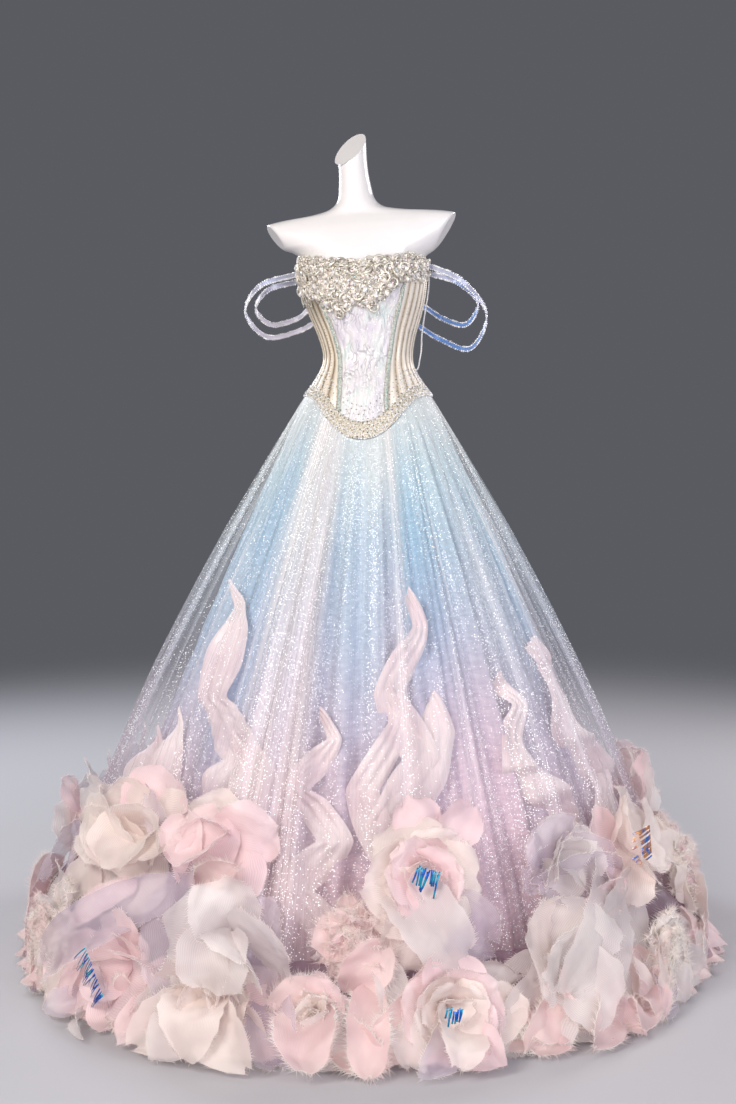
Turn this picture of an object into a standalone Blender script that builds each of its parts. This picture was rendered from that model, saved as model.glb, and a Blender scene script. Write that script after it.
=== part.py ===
"""A strapless ball gown on a limbless dress form.

The gown has a boned corset bodice with a beaded neckline, two off-shoulder drop straps on each
side, a gathered inner skirt, a sheer gathered overlay with a flounce at its foot, strips of
organza between the two, and a border of organza flowers round the hem. Metres, +Z up. The front
faces -Y, and a turn is an angle from the centre front towards +X.
"""

import math
from collections import namedtuple

import bmesh
import bpy
from mathutils import Matrix, Vector
from mathutils.bvhtree import BVHTree

SEAM_GAP = 0.0003
BODICE_WALL = 0.002
SKIRT_WALL = 0.0015
SHEER_WALL = 0.001
PETAL_WALL = 0.0014
FORM_CLEARANCE_WAIST = 0.0036
FORM_CLEARANCE_BUST = 0.0018
BUST_Z = 1.370
FLOOR_CLEARANCE = 0.004
SEAT_GAP = 0.0005

STAND_BASE_RADIUS = 0.22
STAND_POLE_RADIUS = 0.0125
STAND_FLANGE_RADIUS = 0.035
FORM_FOOT_Z = 0.86
WAIST_Z = 1.216

Section = namedtuple("Section", "z half_width front back lean")

# The worn bodice, outside: half its width, its depth before and behind the side seams, and how far
# the figure leans sideways.
BODICE = [
    Section(1.030, 0.2000, 0.1280, 0.1500, 0.000),
    Section(1.080, 0.1650, 0.1180, 0.1350, 0.000),
    Section(1.130, 0.1320, 0.1060, 0.1150, 0.000),
    Section(1.156, 0.1160, 0.0960, 0.1010, 0.000),
    Section(1.189, 0.0970, 0.0830, 0.0830, 0.000),
    Section(1.216, 0.0925, 0.0780, 0.0770, 0.000),
    Section(1.252, 0.0995, 0.0830, 0.0810, -0.002),
    Section(1.294, 0.1145, 0.0950, 0.0870, -0.005),
    Section(1.330, 0.1250, 0.1070, 0.0920, -0.007),
    Section(1.370, 0.1310, 0.1110, 0.0940, -0.009),
    Section(1.420, 0.1330, 0.0990, 0.0910, -0.011),
]

# The dress form below its waist and above the neckline, in the same columns.
FORM_BELOW = [
    Section(FORM_FOOT_Z, 0.1280, 0.0850, 0.0950, 0.000),
    Section(0.885, 0.1500, 0.1000, 0.1150, 0.000),
    Section(0.960, 0.1580, 0.1040, 0.1220, 0.000),
    Section(1.050, 0.1340, 0.0920, 0.1020, 0.000),
    Section(1.130, 0.1000, 0.0780, 0.0800, 0.000),
]
FORM_ABOVE = [
    Section(1.440, 0.1640, 0.0860, 0.0850, -0.013),
    Section(1.460, 0.1920, 0.0760, 0.0810, -0.015),
    Section(1.478, 0.2120, 0.0650, 0.0740, -0.017),
    Section(1.492, 0.2130, 0.0540, 0.0640, -0.017),
    Section(1.502, 0.1780, 0.0460, 0.0570, -0.018),
    Section(1.509, 0.1100, 0.0430, 0.0530, -0.019),
    Section(1.518, 0.0640, 0.0420, 0.0500, -0.022),
    Section(1.535, 0.0410, 0.0400, 0.0460, -0.024),
    Section(1.565, 0.0335, 0.0370, 0.0420, -0.027),
    Section(1.605, 0.0300, 0.0340, 0.0380, -0.031),
    Section(1.650, 0.0310, 0.0340, 0.0370, -0.035),
    Section(1.720, 0.0310, 0.0340, 0.0370, -0.038),
]
FORM_COLUMNS = 24
SHOULDER_TILT = 0.055
SHOULDER_START_Z = 1.41
SHOULDER_FULL_Z = 1.48

# The flat faces where the form's arms and head would start: a point on each and the way it faces.
Facet = namedtuple("Facet", "x y z face_x face_y face_z")
FORM_FACETS = [
    Facet(-0.175, -0.020, 1.440, -0.80, -0.24, -0.55),
    Facet(0.155, -0.020, 1.462, 0.87, -0.06, -0.49),
    Facet(-0.036, 0.000, 1.641, -0.40, -0.62, 0.675),
]

# The angle of the two princess seams from the centre front at each height.
Seam = namedtuple("Seam", "z front_deg back_deg")
SEAMS = [
    Seam(1.030, 15.0, 155.0),
    Seam(1.140, 22.0, 152.0),
    Seam(1.216, 34.0, 150.0),
    Seam(1.280, 37.5, 146.0),
    Seam(1.335, 42.0, 142.0),
    Seam(1.420, 49.0, 140.0),
]
SIDE_DEG = 90.0
PANEL_ROWS = 11
BONE_RELIEF = 0.0014
TRIM_LIFT = BONE_RELIEF + 0.0009
FRONT_BONES = 6
BACK_BONES = 4

BASQUE_GAP = 0.0012
BASQUE_SIDE_Z = 1.132
BASQUE_FRONT_DROP = 0.093
BASQUE_FRONT_SPREAD_DEG = 33.0
BASQUE_BACK_DROP = 0.047
BASQUE_BACK_SPREAD_DEG = 42.0
NECKLINE_PEAK_Z = 1.412
NECKLINE_DIP = 0.026
NECKLINE_BACK_DROP = 0.045

# The lower edge of the encrusted neckline, and how thick the encrusting stands.
Crust = namedtuple("Crust", "turn_deg low_z thick")
NECKLINE_CRUST = [
    Crust(-80.0, 1.340, 0.007),
    Crust(-50.0, 1.324, 0.010),
    Crust(-22.0, 1.288, 0.012),
    Crust(-4.0, 1.305, 0.011),
    Crust(9.0, 1.300, 0.013),
    Crust(24.0, 1.320, 0.012),
    Crust(40.0, 1.350, 0.010),
    Crust(80.0, 1.366, 0.007),
]
CRUST_COLUMNS = 28
CRUST_ROWS = 4
CRUST_RISE = 0.012
BACK_TRIM_DEPTH = 0.022
BACK_TRIM_THICK = 0.003
BACK_TRIM_START_DEG = 98.0

PRINCESS_TRIM_WIDTH = 0.009
PRINCESS_TRIM_THICK = 0.003
BAND_DEPTH_FRONT = 0.036
BAND_DEPTH_SIDE = 0.020
BAND_THICK = 0.0035
BAND_COLUMNS = 48

# Both skirt layers run from the basque line to the floor. fullness bends the fall outwards.
# turn_deg staggers the seams of the two layers.
Layer = namedtuple(
    "Layer", "hem_radius hem_z fullness wall top_out folds fold_depth fold_growth turn_deg"
)
INNER = Layer(0.600, 0.012, 1.05, SKIRT_WALL, 0.0, 36, 0.013, 0.050, 5.0)
OVERLAY = Layer(0.650, 0.0, 1.27, SHEER_WALL, SHEER_WALL + SEAM_GAP, 48, 0.014, 0.060, -7.5)
OVERLAY_END = 0.865
INNER_ROWS = 4
OVERLAY_ROWS = 5
QUARTERS = {"front": 0.0, "side_left": 90.0, "back": 180.0, "side_right": 270.0}

# The overlay's large folds stand out from the rest of its gathers.
Fold = namedtuple("Fold", "turn_deg spread_deg depth")
LARGE_FOLDS = [
    Fold(-16.0, 8.0, 0.020),
    Fold(13.0, 5.0, 0.018),
    Fold(44.0, 7.0, 0.016),
    Fold(-54.0, 7.0, 0.014),
    Fold(80.0, 8.0, 0.014),
    Fold(118.0, 7.0, 0.018),
    Fold(156.0, 8.0, 0.016),
    Fold(196.0, 7.0, 0.018),
    Fold(236.0, 8.0, 0.016),
    Fold(272.0, 7.0, 0.014),
]

FLOUNCE_ROWS = 2
FLOUNCE_SPREAD = 0.055
FLOUNCE_WAVE = 0.016
FLOUNCE_HEM_Z = 0.010

# The drop straps: where each leaves the bodice in front, how far out it reaches and at what
# height, how far fore and aft it swings, its lowest height, and where it comes back to the bodice
# behind. side is +1 towards +X.
Strap = namedtuple("Strap", "name side front_deg front_z reach out_z swing drop_z back_deg back_z")
STRAPS = [
    Strap("strap_outer_right", -1, 84.0, 1.384, 0.262, 1.310, 0.062, 1.264, 126.0, 1.298),
    Strap("strap_inner_right", -1, 87.0, 1.370, 0.240, 1.318, 0.040, 1.288, 114.0, 1.318),
    Strap("strap_outer_left", 1, 84.0, 1.396, 0.246, 1.300, 0.062, 1.236, 126.0, 1.284),
    Strap("strap_inner_left", 1, 86.3, 1.382, 0.228, 1.324, 0.040, 1.284, 114.0, 1.318),
]
STRAP_WIDTH = 0.009
STRAP_THICK = 0.0015
STRAP_POINTS = 16
BUST_SLOPE = 0.36

# The bead strand that hangs beside the bodice: its route from the neckline to the waist.
Stop = namedtuple("Stop", "turn_deg z off_body")
STRAND_ROUTE = [
    Stop(91.5, 1.384, 0.0001),
    Stop(91.5, 1.372, 0.0030),
    Stop(92.0, 1.340, 0.0030),
    Stop(93.0, 1.300, 0.0050),
    Stop(94.0, 1.260, 0.0110),
    Stop(95.0, 1.225, 0.0160),
    Stop(95.0, 1.203, 0.0120),
    Stop(95.0, 1.190, 0.0060),
    Stop(95.0, 1.186, 0.0008),
]
STRAND_DIAMETER = 0.0038

# Organza strips between the two skirt layers.
Strip = namedtuple("Strip", "top_deg foot_deg top_z foot_z width swings swing_deg")
STRIPS = [
    Strip(-50.0, -20.0, 0.750, 0.330, 0.070, 1.6, 4.0),
    Strip(-7.0, -3.0, 0.530, 0.130, 0.060, 2.4, 3.2),
    Strip(18.0, 12.0, 0.745, 0.345, 0.056, 1.7, 3.4),
    Strip(43.0, 52.0, 0.590, 0.290, 0.060, 1.4, 3.5),
    Strip(66.0, 80.0, 0.640, 0.290, 0.070, 1.5, 3.5),
    Strip(150.0, 168.0, 0.680, 0.250, 0.070, 1.8, 4.0),
    Strip(-128.0, -108.0, 0.700, 0.240, 0.070, 1.8, 4.0),
]
STRIP_ROWS = 8
STRIP_LIFT = 0.006

# The hem's flowers: where each sits, its radius, how far it tips up, its petals and how far
# they rise from flat.
Flower = namedtuple("Flower", "turn_deg z radius tip_deg petals cup_deg")
FLOWERS = [
    Flower(-42.0, 0.312, 0.105, 20.0, 5, 34.0),
    Flower(-21.0, 0.326, 0.088, 15.0, 5, 30.0),
    Flower(-52.0, 0.115, 0.098, 10.0, 6, 50.0),
    Flower(-33.0, 0.102, 0.090, 5.0, 5, 38.0),
    Flower(-15.5, 0.092, 0.090, 12.0, 5, 34.0),
    Flower(-13.0, 0.222, 0.088, -15.0, 5, 26.0),
    Flower(-1.5, 0.080, 0.072, 12.0, 5, 52.0),
    Flower(4.0, 0.180, 0.072, 15.0, 5, 50.0),
    Flower(15.0, 0.290, 0.102, 10.0, 5, 36.0),
    Flower(17.0, 0.092, 0.092, 8.0, 5, 36.0),
    Flower(42.0, 0.290, 0.080, 10.0, 5, 34.0),
    Flower(36.0, 0.125, 0.110, 12.0, 5, 30.0),
    Flower(60.0, 0.275, 0.105, 15.0, 5, 36.0),
    Flower(59.0, 0.092, 0.092, 8.0, 6, 44.0),
    Flower(88.0, 0.160, 0.110, 12.0, 5, 36.0),
    Flower(118.0, 0.200, 0.105, 12.0, 5, 38.0),
    Flower(150.0, 0.150, 0.110, 12.0, 5, 36.0),
    Flower(-176.0, 0.190, 0.108, 12.0, 5, 40.0),
    Flower(-140.0, 0.150, 0.110, 12.0, 5, 36.0),
    Flower(-107.0, 0.190, 0.105, 12.0, 5, 38.0),
]
FLOWER_START_RADIUS = 0.95
COLUMNS_PER_PETAL = 3
NOTCH_DEPTH = 0.24

# The rings of a flower's surface from its heart out over the inner petals, back under them to the
# heart, and out and back again for the outer petals.
Tier = namedtuple("Tier", "length more_cup_deg curl shift")
INNER_PETALS = Tier(0.72, 26.0, 0.05, 1)
OUTER_PETALS = Tier(1.00, -6.0, 0.10, 0)
Ring = namedtuple("Ring", "tier reach side")
FLOWER_RINGS = [
    Ring(INNER_PETALS, 1.00, 1),
    Ring(INNER_PETALS, 1.00, -1),
    Ring(INNER_PETALS, 0.14, -1),
    Ring(OUTER_PETALS, 0.60, 1),
    Ring(OUTER_PETALS, 1.00, 1),
    Ring(OUTER_PETALS, 1.00, -1),
    Ring(OUTER_PETALS, 0.60, -1),
]
SPIN_PER_FLOWER_DEG = 37.0

# Tufts of film strands, each in the heart of a flower.
Tuft = namedtuple("Tuft", "flower strands length")
TUFTS = [
    Tuft(3, 10, 0.060),
    Tuft(8, 9, 0.045),
    Tuft(9, 8, 0.040),
    Tuft(12, 9, 0.050),
]
TUFT_BACKING_RADIUS = 0.011
TUFT_BACKING_THICK = 0.004
STRAND_SIDES = 3
STRAND_RADIUS = 0.0011

Finish = namedtuple("Finish", "red green blue roughness metallic")
FINISHES = {
    "form_gloss": Finish(0.92, 0.91, 0.90, 0.25, 0.0),
    "stand_steel": Finish(0.60, 0.60, 0.62, 0.35, 1.0),
    "bodice_silk": Finish(0.80, 0.79, 0.84, 0.45, 0.0),
    "bodice_boned": Finish(0.80, 0.68, 0.52, 0.45, 0.0),
    "bead_silver": Finish(0.72, 0.68, 0.60, 0.30, 0.5),
    "strap_ribbon": Finish(0.55, 0.62, 0.82, 0.40, 0.0),
    "skirt_glitter": Finish(0.60, 0.72, 0.84, 0.40, 0.0),
    "overlay_tulle": Finish(0.80, 0.80, 0.88, 0.50, 0.0),
    "organza_pink": Finish(0.90, 0.76, 0.77, 0.55, 0.0),
    "film_blue": Finish(0.05, 0.30, 0.80, 0.15, 0.4),
}


# ---------------------------------------------------------------- scene and materials


def clear_scene():
    for obj in list(bpy.data.objects):
        bpy.data.objects.remove(obj, do_unlink=True)


def finish_material(name):
    """The named material, made the first time it is asked for."""
    material = bpy.data.materials.get(name)
    if material is None:
        finish = FINISHES[name]
        material = bpy.data.materials.new(name)
        material.use_nodes = True
        shader = material.node_tree.nodes["Principled BSDF"]
        shader.inputs["Base Color"].default_value = (finish.red, finish.green, finish.blue, 1.0)
        shader.inputs["Roughness"].default_value = finish.roughness
        shader.inputs["Metallic"].default_value = finish.metallic
    return material


def add_object(name, data, finish):
    data.materials.append(finish_material(finish))
    obj = bpy.data.objects.new(name, data)
    gown_collection.objects.link(obj)
    return obj


# ---------------------------------------------------------------- curves and outlines


def along(rows, column, at, key="z"):
    """The column's value at a height or angle, on a smooth curve through the table's rows."""
    keys = [getattr(row, key) for row in rows]
    values = [getattr(row, column) for row in rows]
    at = min(max(at, keys[0]), keys[-1])
    i = max(k for k in range(len(keys) - 1) if keys[k] <= at)
    before, after = max(i - 1, 0), min(i + 2, len(keys) - 1)
    step = keys[i + 1] - keys[i]
    slope_in = (values[i + 1] - values[before]) / (keys[i + 1] - keys[before])
    slope_out = (values[after] - values[i]) / (keys[after] - keys[i])
    t = (at - keys[i]) / step
    return (
        values[i] * (2 * t**3 - 3 * t**2 + 1)
        + values[i + 1] * (3 * t**2 - 2 * t**3)
        + slope_in * step * (t**3 - 2 * t**2 + t)
        + slope_out * step * (t**3 - t**2)
    )


def mix(a, b, t):
    return a + (b - a) * t


def bell(angle_deg, centre_deg, spread_deg):
    """1 at the centre, falling smoothly to 0 on either side."""
    away = (angle_deg - centre_deg + 180.0) % 360.0 - 180.0
    return math.exp(-((away / spread_deg) ** 2))


def outward(turn):
    """The level direction that a turn points to."""
    return Vector((math.sin(turn), -math.cos(turn), 0.0))


def ring_point(rows, turn, z, out=0.0):
    """A point on the oval section at height z, moved out from it by out."""
    half = along(rows, "half_width", z)
    depth = along(rows, "front" if math.cos(turn) > 0 else "back", z)
    normal = Vector((math.sin(turn) / half, -math.cos(turn) / depth, 0.0)).normalized()
    on_oval = Vector((half * math.sin(turn) + along(rows, "lean", z), -depth * math.cos(turn), z))
    return on_oval + normal * out


def basque_z(turn):
    """The bodice's lower edge: level at the sides, with a deep rounded point in front."""
    deg = math.degrees(turn)
    front = BASQUE_FRONT_DROP * bell(deg, 0.0, BASQUE_FRONT_SPREAD_DEG)
    back = BASQUE_BACK_DROP * bell(deg, 180.0, BASQUE_BACK_SPREAD_DEG)
    return BASQUE_SIDE_Z - front - back


def neckline_z(turn):
    """The bodice's upper edge: a slight dip in front, and lower behind."""
    dip = NECKLINE_DIP * math.cos(turn) ** 2 if math.cos(turn) > 0 else 0.0
    return NECKLINE_PEAK_Z - dip - NECKLINE_BACK_DROP * math.sin(turn / 2) ** 4


# ---------------------------------------------------------------- mesh tools


def halves(a, b, c, d):
    """Two triangles for a square, split the same way on both sides of a wall."""
    return (a, b, c), (a, c, d)


def wall(name, outer, inner, finish, ring=False):
    """A closed wall between two grids of points with the same rows and columns."""
    rows, columns = len(outer), len(outer[0])
    points = [p for grid in (outer, inner) for row in grid for p in row]
    inner_start = rows * columns

    def at(row, column, start=0):
        return start + row * columns + column % columns

    faces = []
    across = columns if ring else columns - 1
    for r in range(rows - 1):
        for c in range(across):
            for half in halves(at(r, c), at(r, c + 1), at(r + 1, c + 1), at(r + 1, c)):
                faces.append(half)
                faces.append(tuple(inner_start + k for k in reversed(half)))
    edges = [(at(r, c), at(r, c + 1)) for r in (0, rows - 1) for c in range(across)]
    if not ring:
        edges += [(at(r, c), at(r + 1, c)) for c in (0, columns - 1) for r in range(rows - 1)]
    faces += [(a, b, inner_start + b, inner_start + a) for a, b in edges]
    mesh = bpy.data.meshes.new(name)
    mesh.from_pydata([tuple(p) for p in points], [], faces)
    face_out(mesh)
    mesh.shade_smooth()
    return add_object(name, mesh, finish)


def face_out(mesh):
    """Turns a closed mesh's faces outwards."""
    bm = bmesh.new()
    bm.from_mesh(mesh)
    bmesh.ops.recalc_face_normals(bm, faces=bm.faces)
    if bm.calc_volume(signed=True) < 0:
        bmesh.ops.reverse_faces(bm, faces=bm.faces)
    bm.to_mesh(mesh)
    bm.free()


def sheet(name, grid, thickness, finish):
    """An open sheet of cloth through a grid of points, given its thickness by Solidify."""
    rows, columns = len(grid), len(grid[0])
    faces = []
    for r in range(rows - 1):
        for c in range(columns - 1):
            a, d = r * columns + c, (r + 1) * columns + c
            faces += halves(a, a + 1, d + 1, d)
    mesh = bpy.data.meshes.new(name)
    mesh.from_pydata([tuple(p) for row in grid for p in row], [], faces)
    mesh.shade_smooth()
    obj = add_object(name, mesh, finish)
    solidify = obj.modifiers.new("cloth thickness", "SOLIDIFY")
    solidify.thickness = thickness
    solidify.offset = 0.0
    return obj


def evaluated_mesh(obj):
    """The object's mesh with its modifiers applied, in world space."""
    bpy.context.view_layer.update()
    graph = bpy.context.evaluated_depsgraph_get()
    mesh = bpy.data.meshes.new_from_object(obj.evaluated_get(graph))
    mesh.transform(obj.matrix_world)
    return mesh


def triangles(obj):
    """The points and triangles of an object's finished surface, in world space."""
    mesh = evaluated_mesh(obj)
    mesh.calc_loop_triangles()
    points = [v.co.copy() for v in mesh.vertices]
    faces = [tuple(triangle.vertices) for triangle in mesh.loop_triangles]
    bpy.data.meshes.remove(mesh)
    return points, faces


def tree_of(objects):
    """One search tree over the surfaces of several objects."""
    points, faces = [], []
    for obj in objects:
        start = len(points)
        more_points, more_faces = triangles(obj)
        points += more_points
        faces += [tuple(start + k for k in face) for face in more_faces]
    return BVHTree.FromPolygons(points, faces)


def settle(obj, inwards, supports, travel):
    """Moves obj along inwards until it touches a support, then back by SEAT_GAP."""
    points, faces = triangles(obj)
    support_tree = tree_of(supports)

    def touches(distance):
        moved = BVHTree.FromPolygons([p + inwards * distance for p in points], faces)
        return bool(moved.overlap(support_tree))

    step = 0.004
    reach = 0.0
    while reach < travel and not touches(reach + step):
        reach += step
    blocked = reach + step
    for _ in range(7):
        middle = (reach + blocked) / 2
        if touches(middle):
            blocked = middle
        else:
            reach = middle
    reach -= SEAT_GAP
    while touches(reach):
        reach -= SEAT_GAP
    obj.location += inwards * reach
    bpy.context.view_layer.update()


def join_pieces(name, pieces, finish):
    """One solid out of several that overlap, by Boolean unions onto the first."""
    body = pieces[0]
    for piece in pieces[1:]:
        union = body.modifiers.new("union", "BOOLEAN")
        union.operation = "UNION"
        union.object = piece
    mesh = evaluated_mesh(body)
    for piece in pieces:
        bpy.data.objects.remove(piece, do_unlink=True)
    mesh.name = name
    mesh.materials.clear()
    return add_object(name, mesh, finish)


# ---------------------------------------------------------------- dress form and stand


def form_point(turn, z):
    """A point on the form: the bodice less its wall where it is worn, and its own shape elsewhere."""
    foot = FORM_BELOW[-1].z
    if z <= foot:
        return ring_point(FORM_BELOW, turn, z)
    if z < FORM_ABOVE[0].z:
        up = min(max((z - WAIST_Z - 0.06) / (BUST_Z - WAIST_Z - 0.06), 0.0), 1.0)
        clearance = mix(FORM_CLEARANCE_WAIST, FORM_CLEARANCE_BUST, up)
        worn = ring_point(BODICE, turn, z, -BODICE_WALL - clearance)
        if z >= WAIST_Z:
            return worn
        below = ring_point(FORM_BELOW, turn, foot)
        blended = below.lerp(worn, (z - foot) / (WAIST_Z - foot))
        blended.z = z
        return blended
    point = ring_point(FORM_ABOVE, turn, z)
    share = min(max((z - SHOULDER_START_Z) / (SHOULDER_FULL_Z - SHOULDER_START_Z), 0.0), 1.0)
    near_neck = min(abs(point.x) / 0.05, 1.0)
    point.z += SHOULDER_TILT * point.x * share * near_neck
    return point


def make_form():
    heights = [row.z for row in FORM_BELOW]
    heights += [row.z for row in BODICE if row.z > FORM_BELOW[-1].z]
    heights += [row.z for row in FORM_ABOVE]
    bm = bmesh.new()
    rings = []
    for z in heights:
        ring = []
        for k in range(FORM_COLUMNS):
            ring.append(bm.verts.new(form_point(math.tau * k / FORM_COLUMNS, z)))
        rings.append(ring)
    for low, high in zip(rings, rings[1:]):
        for k in range(FORM_COLUMNS):
            n = (k + 1) % FORM_COLUMNS
            bm.faces.new((low[k], low[n], high[n], high[k]))
    bm.faces.new(list(reversed(rings[0])))
    bm.faces.new(rings[-1])
    for facet in FORM_FACETS:
        above = [v for v in bm.verts if v.co.z > NECKLINE_PEAK_Z]
        upper = [e for e in bm.edges if all(v in above for v in e.verts)]
        upper += [f for f in bm.faces if all(v in above for v in f.verts)]
        cut = bmesh.ops.bisect_plane(
            bm,
            geom=above + upper,
            plane_co=(facet.x, facet.y, facet.z),
            plane_no=Vector((facet.face_x, facet.face_y, facet.face_z)).normalized(),
            clear_outer=True,
        )
        rim = [e for e in cut["geom_cut"] if isinstance(e, bmesh.types.BMEdge) and e.is_boundary]
        bmesh.ops.edgeloop_fill(bm, edges=rim)
    bmesh.ops.remove_doubles(bm, verts=bm.verts, dist=0.0001)
    bmesh.ops.recalc_face_normals(bm, faces=bm.faces)
    mesh = bpy.data.meshes.new("dress_form")
    bm.to_mesh(mesh)
    bm.free()
    mesh.shade_smooth()
    mesh.set_sharp_from_angle(angle=math.radians(40))
    return add_object("dress_form", mesh, "form_gloss")


def make_stand():
    """A turned base, pole and flange, standing on the floor and carrying the form."""
    top = FORM_FOOT_Z - SEAM_GAP
    profile = [
        (0.0, top),
        (STAND_FLANGE_RADIUS, top),
        (STAND_FLANGE_RADIUS, top - 0.006),
        (STAND_POLE_RADIUS, top - 0.012),
        (STAND_POLE_RADIUS, 0.030),
        (STAND_POLE_RADIUS + 0.015, 0.016),
        (STAND_BASE_RADIUS - 0.008, 0.011),
        (STAND_BASE_RADIUS, 0.007),
        (STAND_BASE_RADIUS, 0.0),
        (0.0, 0.0),
    ]
    mesh = bpy.data.meshes.new("stand")
    links = [(k, k + 1) for k in range(len(profile) - 1)]
    mesh.from_pydata([(radius, 0.0, z) for radius, z in profile], links, [])
    stand = add_object("stand", mesh, "stand_steel")
    screw = stand.modifiers.new("turned", "SCREW")
    screw.steps = screw.render_steps = 18
    screw.use_merge_vertices = True
    screw.merge_threshold = 0.0001
    screw.use_smooth_shade = True
    return stand


# ---------------------------------------------------------------- bodice


def seam_turn(column, side, z):
    return math.radians(side * along(SEAMS, column, z))


def panel_turn(edges, share, z):
    """The turn at a share of the way across a panel, whose two edges are functions of height."""
    return mix(edges[0](z), edges[1](z), share)


def panel_place(edges, share, down):
    """(turn, z) of a point on a panel, at a share across and down it."""
    z = mix(NECKLINE_PEAK_Z, BASQUE_SIDE_Z, down)
    for _ in range(6):
        turn = panel_turn(edges, share, z)
        z = mix(neckline_z(turn), basque_z(turn), down)
    return turn, z


def make_panel(name, edges, columns, bones, finish):
    """One panel of the bodice: a plain inside, and boning channels raised outside."""
    outer, inner = [], []
    for r in range(PANEL_ROWS + 1):
        down = r / PANEL_ROWS
        outer_row, inner_row = [], []
        for c in range(columns + 1):
            share = c / columns
            turn, z = panel_place(edges, share, down)
            turn += math.copysign(SEAM_GAP / 2 / 0.1, edges[1](z) - edges[0](z)) * (1 - 2 * share)
            ridge = BONE_RELIEF * math.sin(math.pi * bones * share) ** 2 if bones else 0.0
            outer_row.append(ring_point(BODICE, turn, z, ridge))
            inner_row.append(ring_point(BODICE, turn, z, -BODICE_WALL))
        outer.append(outer_row)
        inner.append(inner_row)
    return wall(name, outer, inner, finish)


def make_bodice():
    def fixed(deg):
        return lambda z: math.radians(deg)

    def seam(column, side):
        return lambda z: seam_turn(column, side, z)

    front = (seam("front_deg", -1), seam("front_deg", 1))
    pieces = [make_panel("bodice_center_front", front, 10, 0, "bodice_silk")]
    for side, word in ((1, "left"), (-1, "right")):
        side_front = (seam("front_deg", side), fixed(side * SIDE_DEG))
        side_back = (fixed(side * SIDE_DEG), seam("back_deg", side))
        back = (seam("back_deg", side), fixed(side * 180.0))
        pieces += [
            make_panel(f"bodice_side_front_{word}", side_front, 2 * FRONT_BONES, FRONT_BONES, "bodice_boned"),
            make_panel(f"bodice_side_back_{word}", side_back, 2 * BACK_BONES, BACK_BONES, "bodice_boned"),
            make_panel(f"bodice_back_{word}", back, 6, 0, "bodice_boned"),
        ]
    return pieces


def make_crust():
    """The encrusted front of the neckline, with its surface in knots of applique."""
    outer, inner = [], []
    lift = TRIM_LIFT
    for r in range(CRUST_ROWS + 1):
        down = r / CRUST_ROWS
        outer_row, inner_row = [], []
        for c in range(CRUST_COLUMNS + 1):
            deg = mix(NECKLINE_CRUST[0].turn_deg, NECKLINE_CRUST[-1].turn_deg, c / CRUST_COLUMNS)
            turn = math.radians(deg)
            scallop = 0.004 * math.sin(math.pi * c / 2) ** 2
            rise = CRUST_RISE * (0.35 + 0.65 * math.sin(math.pi * c / 3) ** 2)
            top = neckline_z(turn) + rise * (1.0 - (deg / NECKLINE_CRUST[-1].turn_deg) ** 4)
            low = along(NECKLINE_CRUST, "low_z", deg, "turn_deg") + scallop
            z = mix(top, low, down)
            knot = 0.55 + 0.45 * math.cos(math.pi * (c + r)) * math.cos(0.9 * c + 1.7 * r)
            edge = 1.0 if 0 < r < CRUST_ROWS else 0.45
            thick = along(NECKLINE_CRUST, "thick", deg, "turn_deg") * knot * edge
            outer_row.append(ring_point(BODICE, turn, z, lift + 0.002 + thick))
            inner_row.append(ring_point(BODICE, turn, z, lift))
        outer.append(outer_row)
        inner.append(inner_row)
    return wall("neckline_applique", outer, inner, "bead_silver")


def make_back_trim():
    """The narrow beaded band that carries the neckline round the back."""
    start, end = math.radians(BACK_TRIM_START_DEG), math.radians(360.0 - BACK_TRIM_START_DEG)
    lift = TRIM_LIFT
    outer, inner = [], []
    for r in range(3):
        turns = [mix(start, end, c / 22) for c in range(23)]
        heights = [neckline_z(turn) - BACK_TRIM_DEPTH * r / 2 for turn in turns]
        swell = BACK_TRIM_THICK * (1.0 if r == 1 else 0.6)
        outer.append([ring_point(BODICE, t, z, lift + swell) for t, z in zip(turns, heights)])
        inner.append([ring_point(BODICE, t, z, lift) for t, z in zip(turns, heights)])
    return wall("neckline_trim_back", outer, inner, "bead_silver")


def band_depth(turn):
    return mix(BAND_DEPTH_SIDE, BAND_DEPTH_FRONT, bell(math.degrees(turn), 0.0, 40.0))


def make_princess_trim(side, word):
    """A beaded trim over the front princess seam, from the applique to the basque band."""
    outer, inner = [], []
    rows = 14
    for r in range(rows + 1):
        outer_row, inner_row = [], []
        for across, swell in ((-1.0, 0.6), (0.0, 1.0), (1.0, 0.6)):
            z = BASQUE_SIDE_Z
            for _ in range(6):
                half_turn = PRINCESS_TRIM_WIDTH / 2 / along(BODICE, "half_width", z)
                turn = seam_turn("front_deg", side, z) + half_turn * across
                top = along(NECKLINE_CRUST, "low_z", math.degrees(turn), "turn_deg") - TRIM_LIFT
                low = basque_z(turn) + band_depth(turn) + TRIM_LIFT
                z = mix(top, low, r / rows)
            outer_row.append(ring_point(BODICE, turn, z, TRIM_LIFT + PRINCESS_TRIM_THICK * swell))
            inner_row.append(ring_point(BODICE, turn, z, TRIM_LIFT))
        outer.append(outer_row)
        inner.append(inner_row)
    return wall(f"princess_trim_{word}", outer, inner, "bead_silver")


def make_basque_band():
    """The beaded band along the bodice's lower edge, all the way round."""
    outer, inner = [], []
    lift = TRIM_LIFT
    for r in range(3):
        outer_row, inner_row = [], []
        for c in range(BAND_COLUMNS):
            turn = math.tau * c / BAND_COLUMNS
            z = basque_z(turn) + band_depth(turn) * (1 - r / 2)
            swell = BAND_THICK * (1.0 if r == 1 else 0.7)
            outer_row.append(ring_point(BODICE, turn, z, lift + swell))
            inner_row.append(ring_point(BODICE, turn, z, lift))
        outer.append(outer_row)
        inner.append(inner_row)
    return wall("basque_band", outer, inner, "bead_silver", ring=True)


# ---------------------------------------------------------------- straps and bead strand


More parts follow.
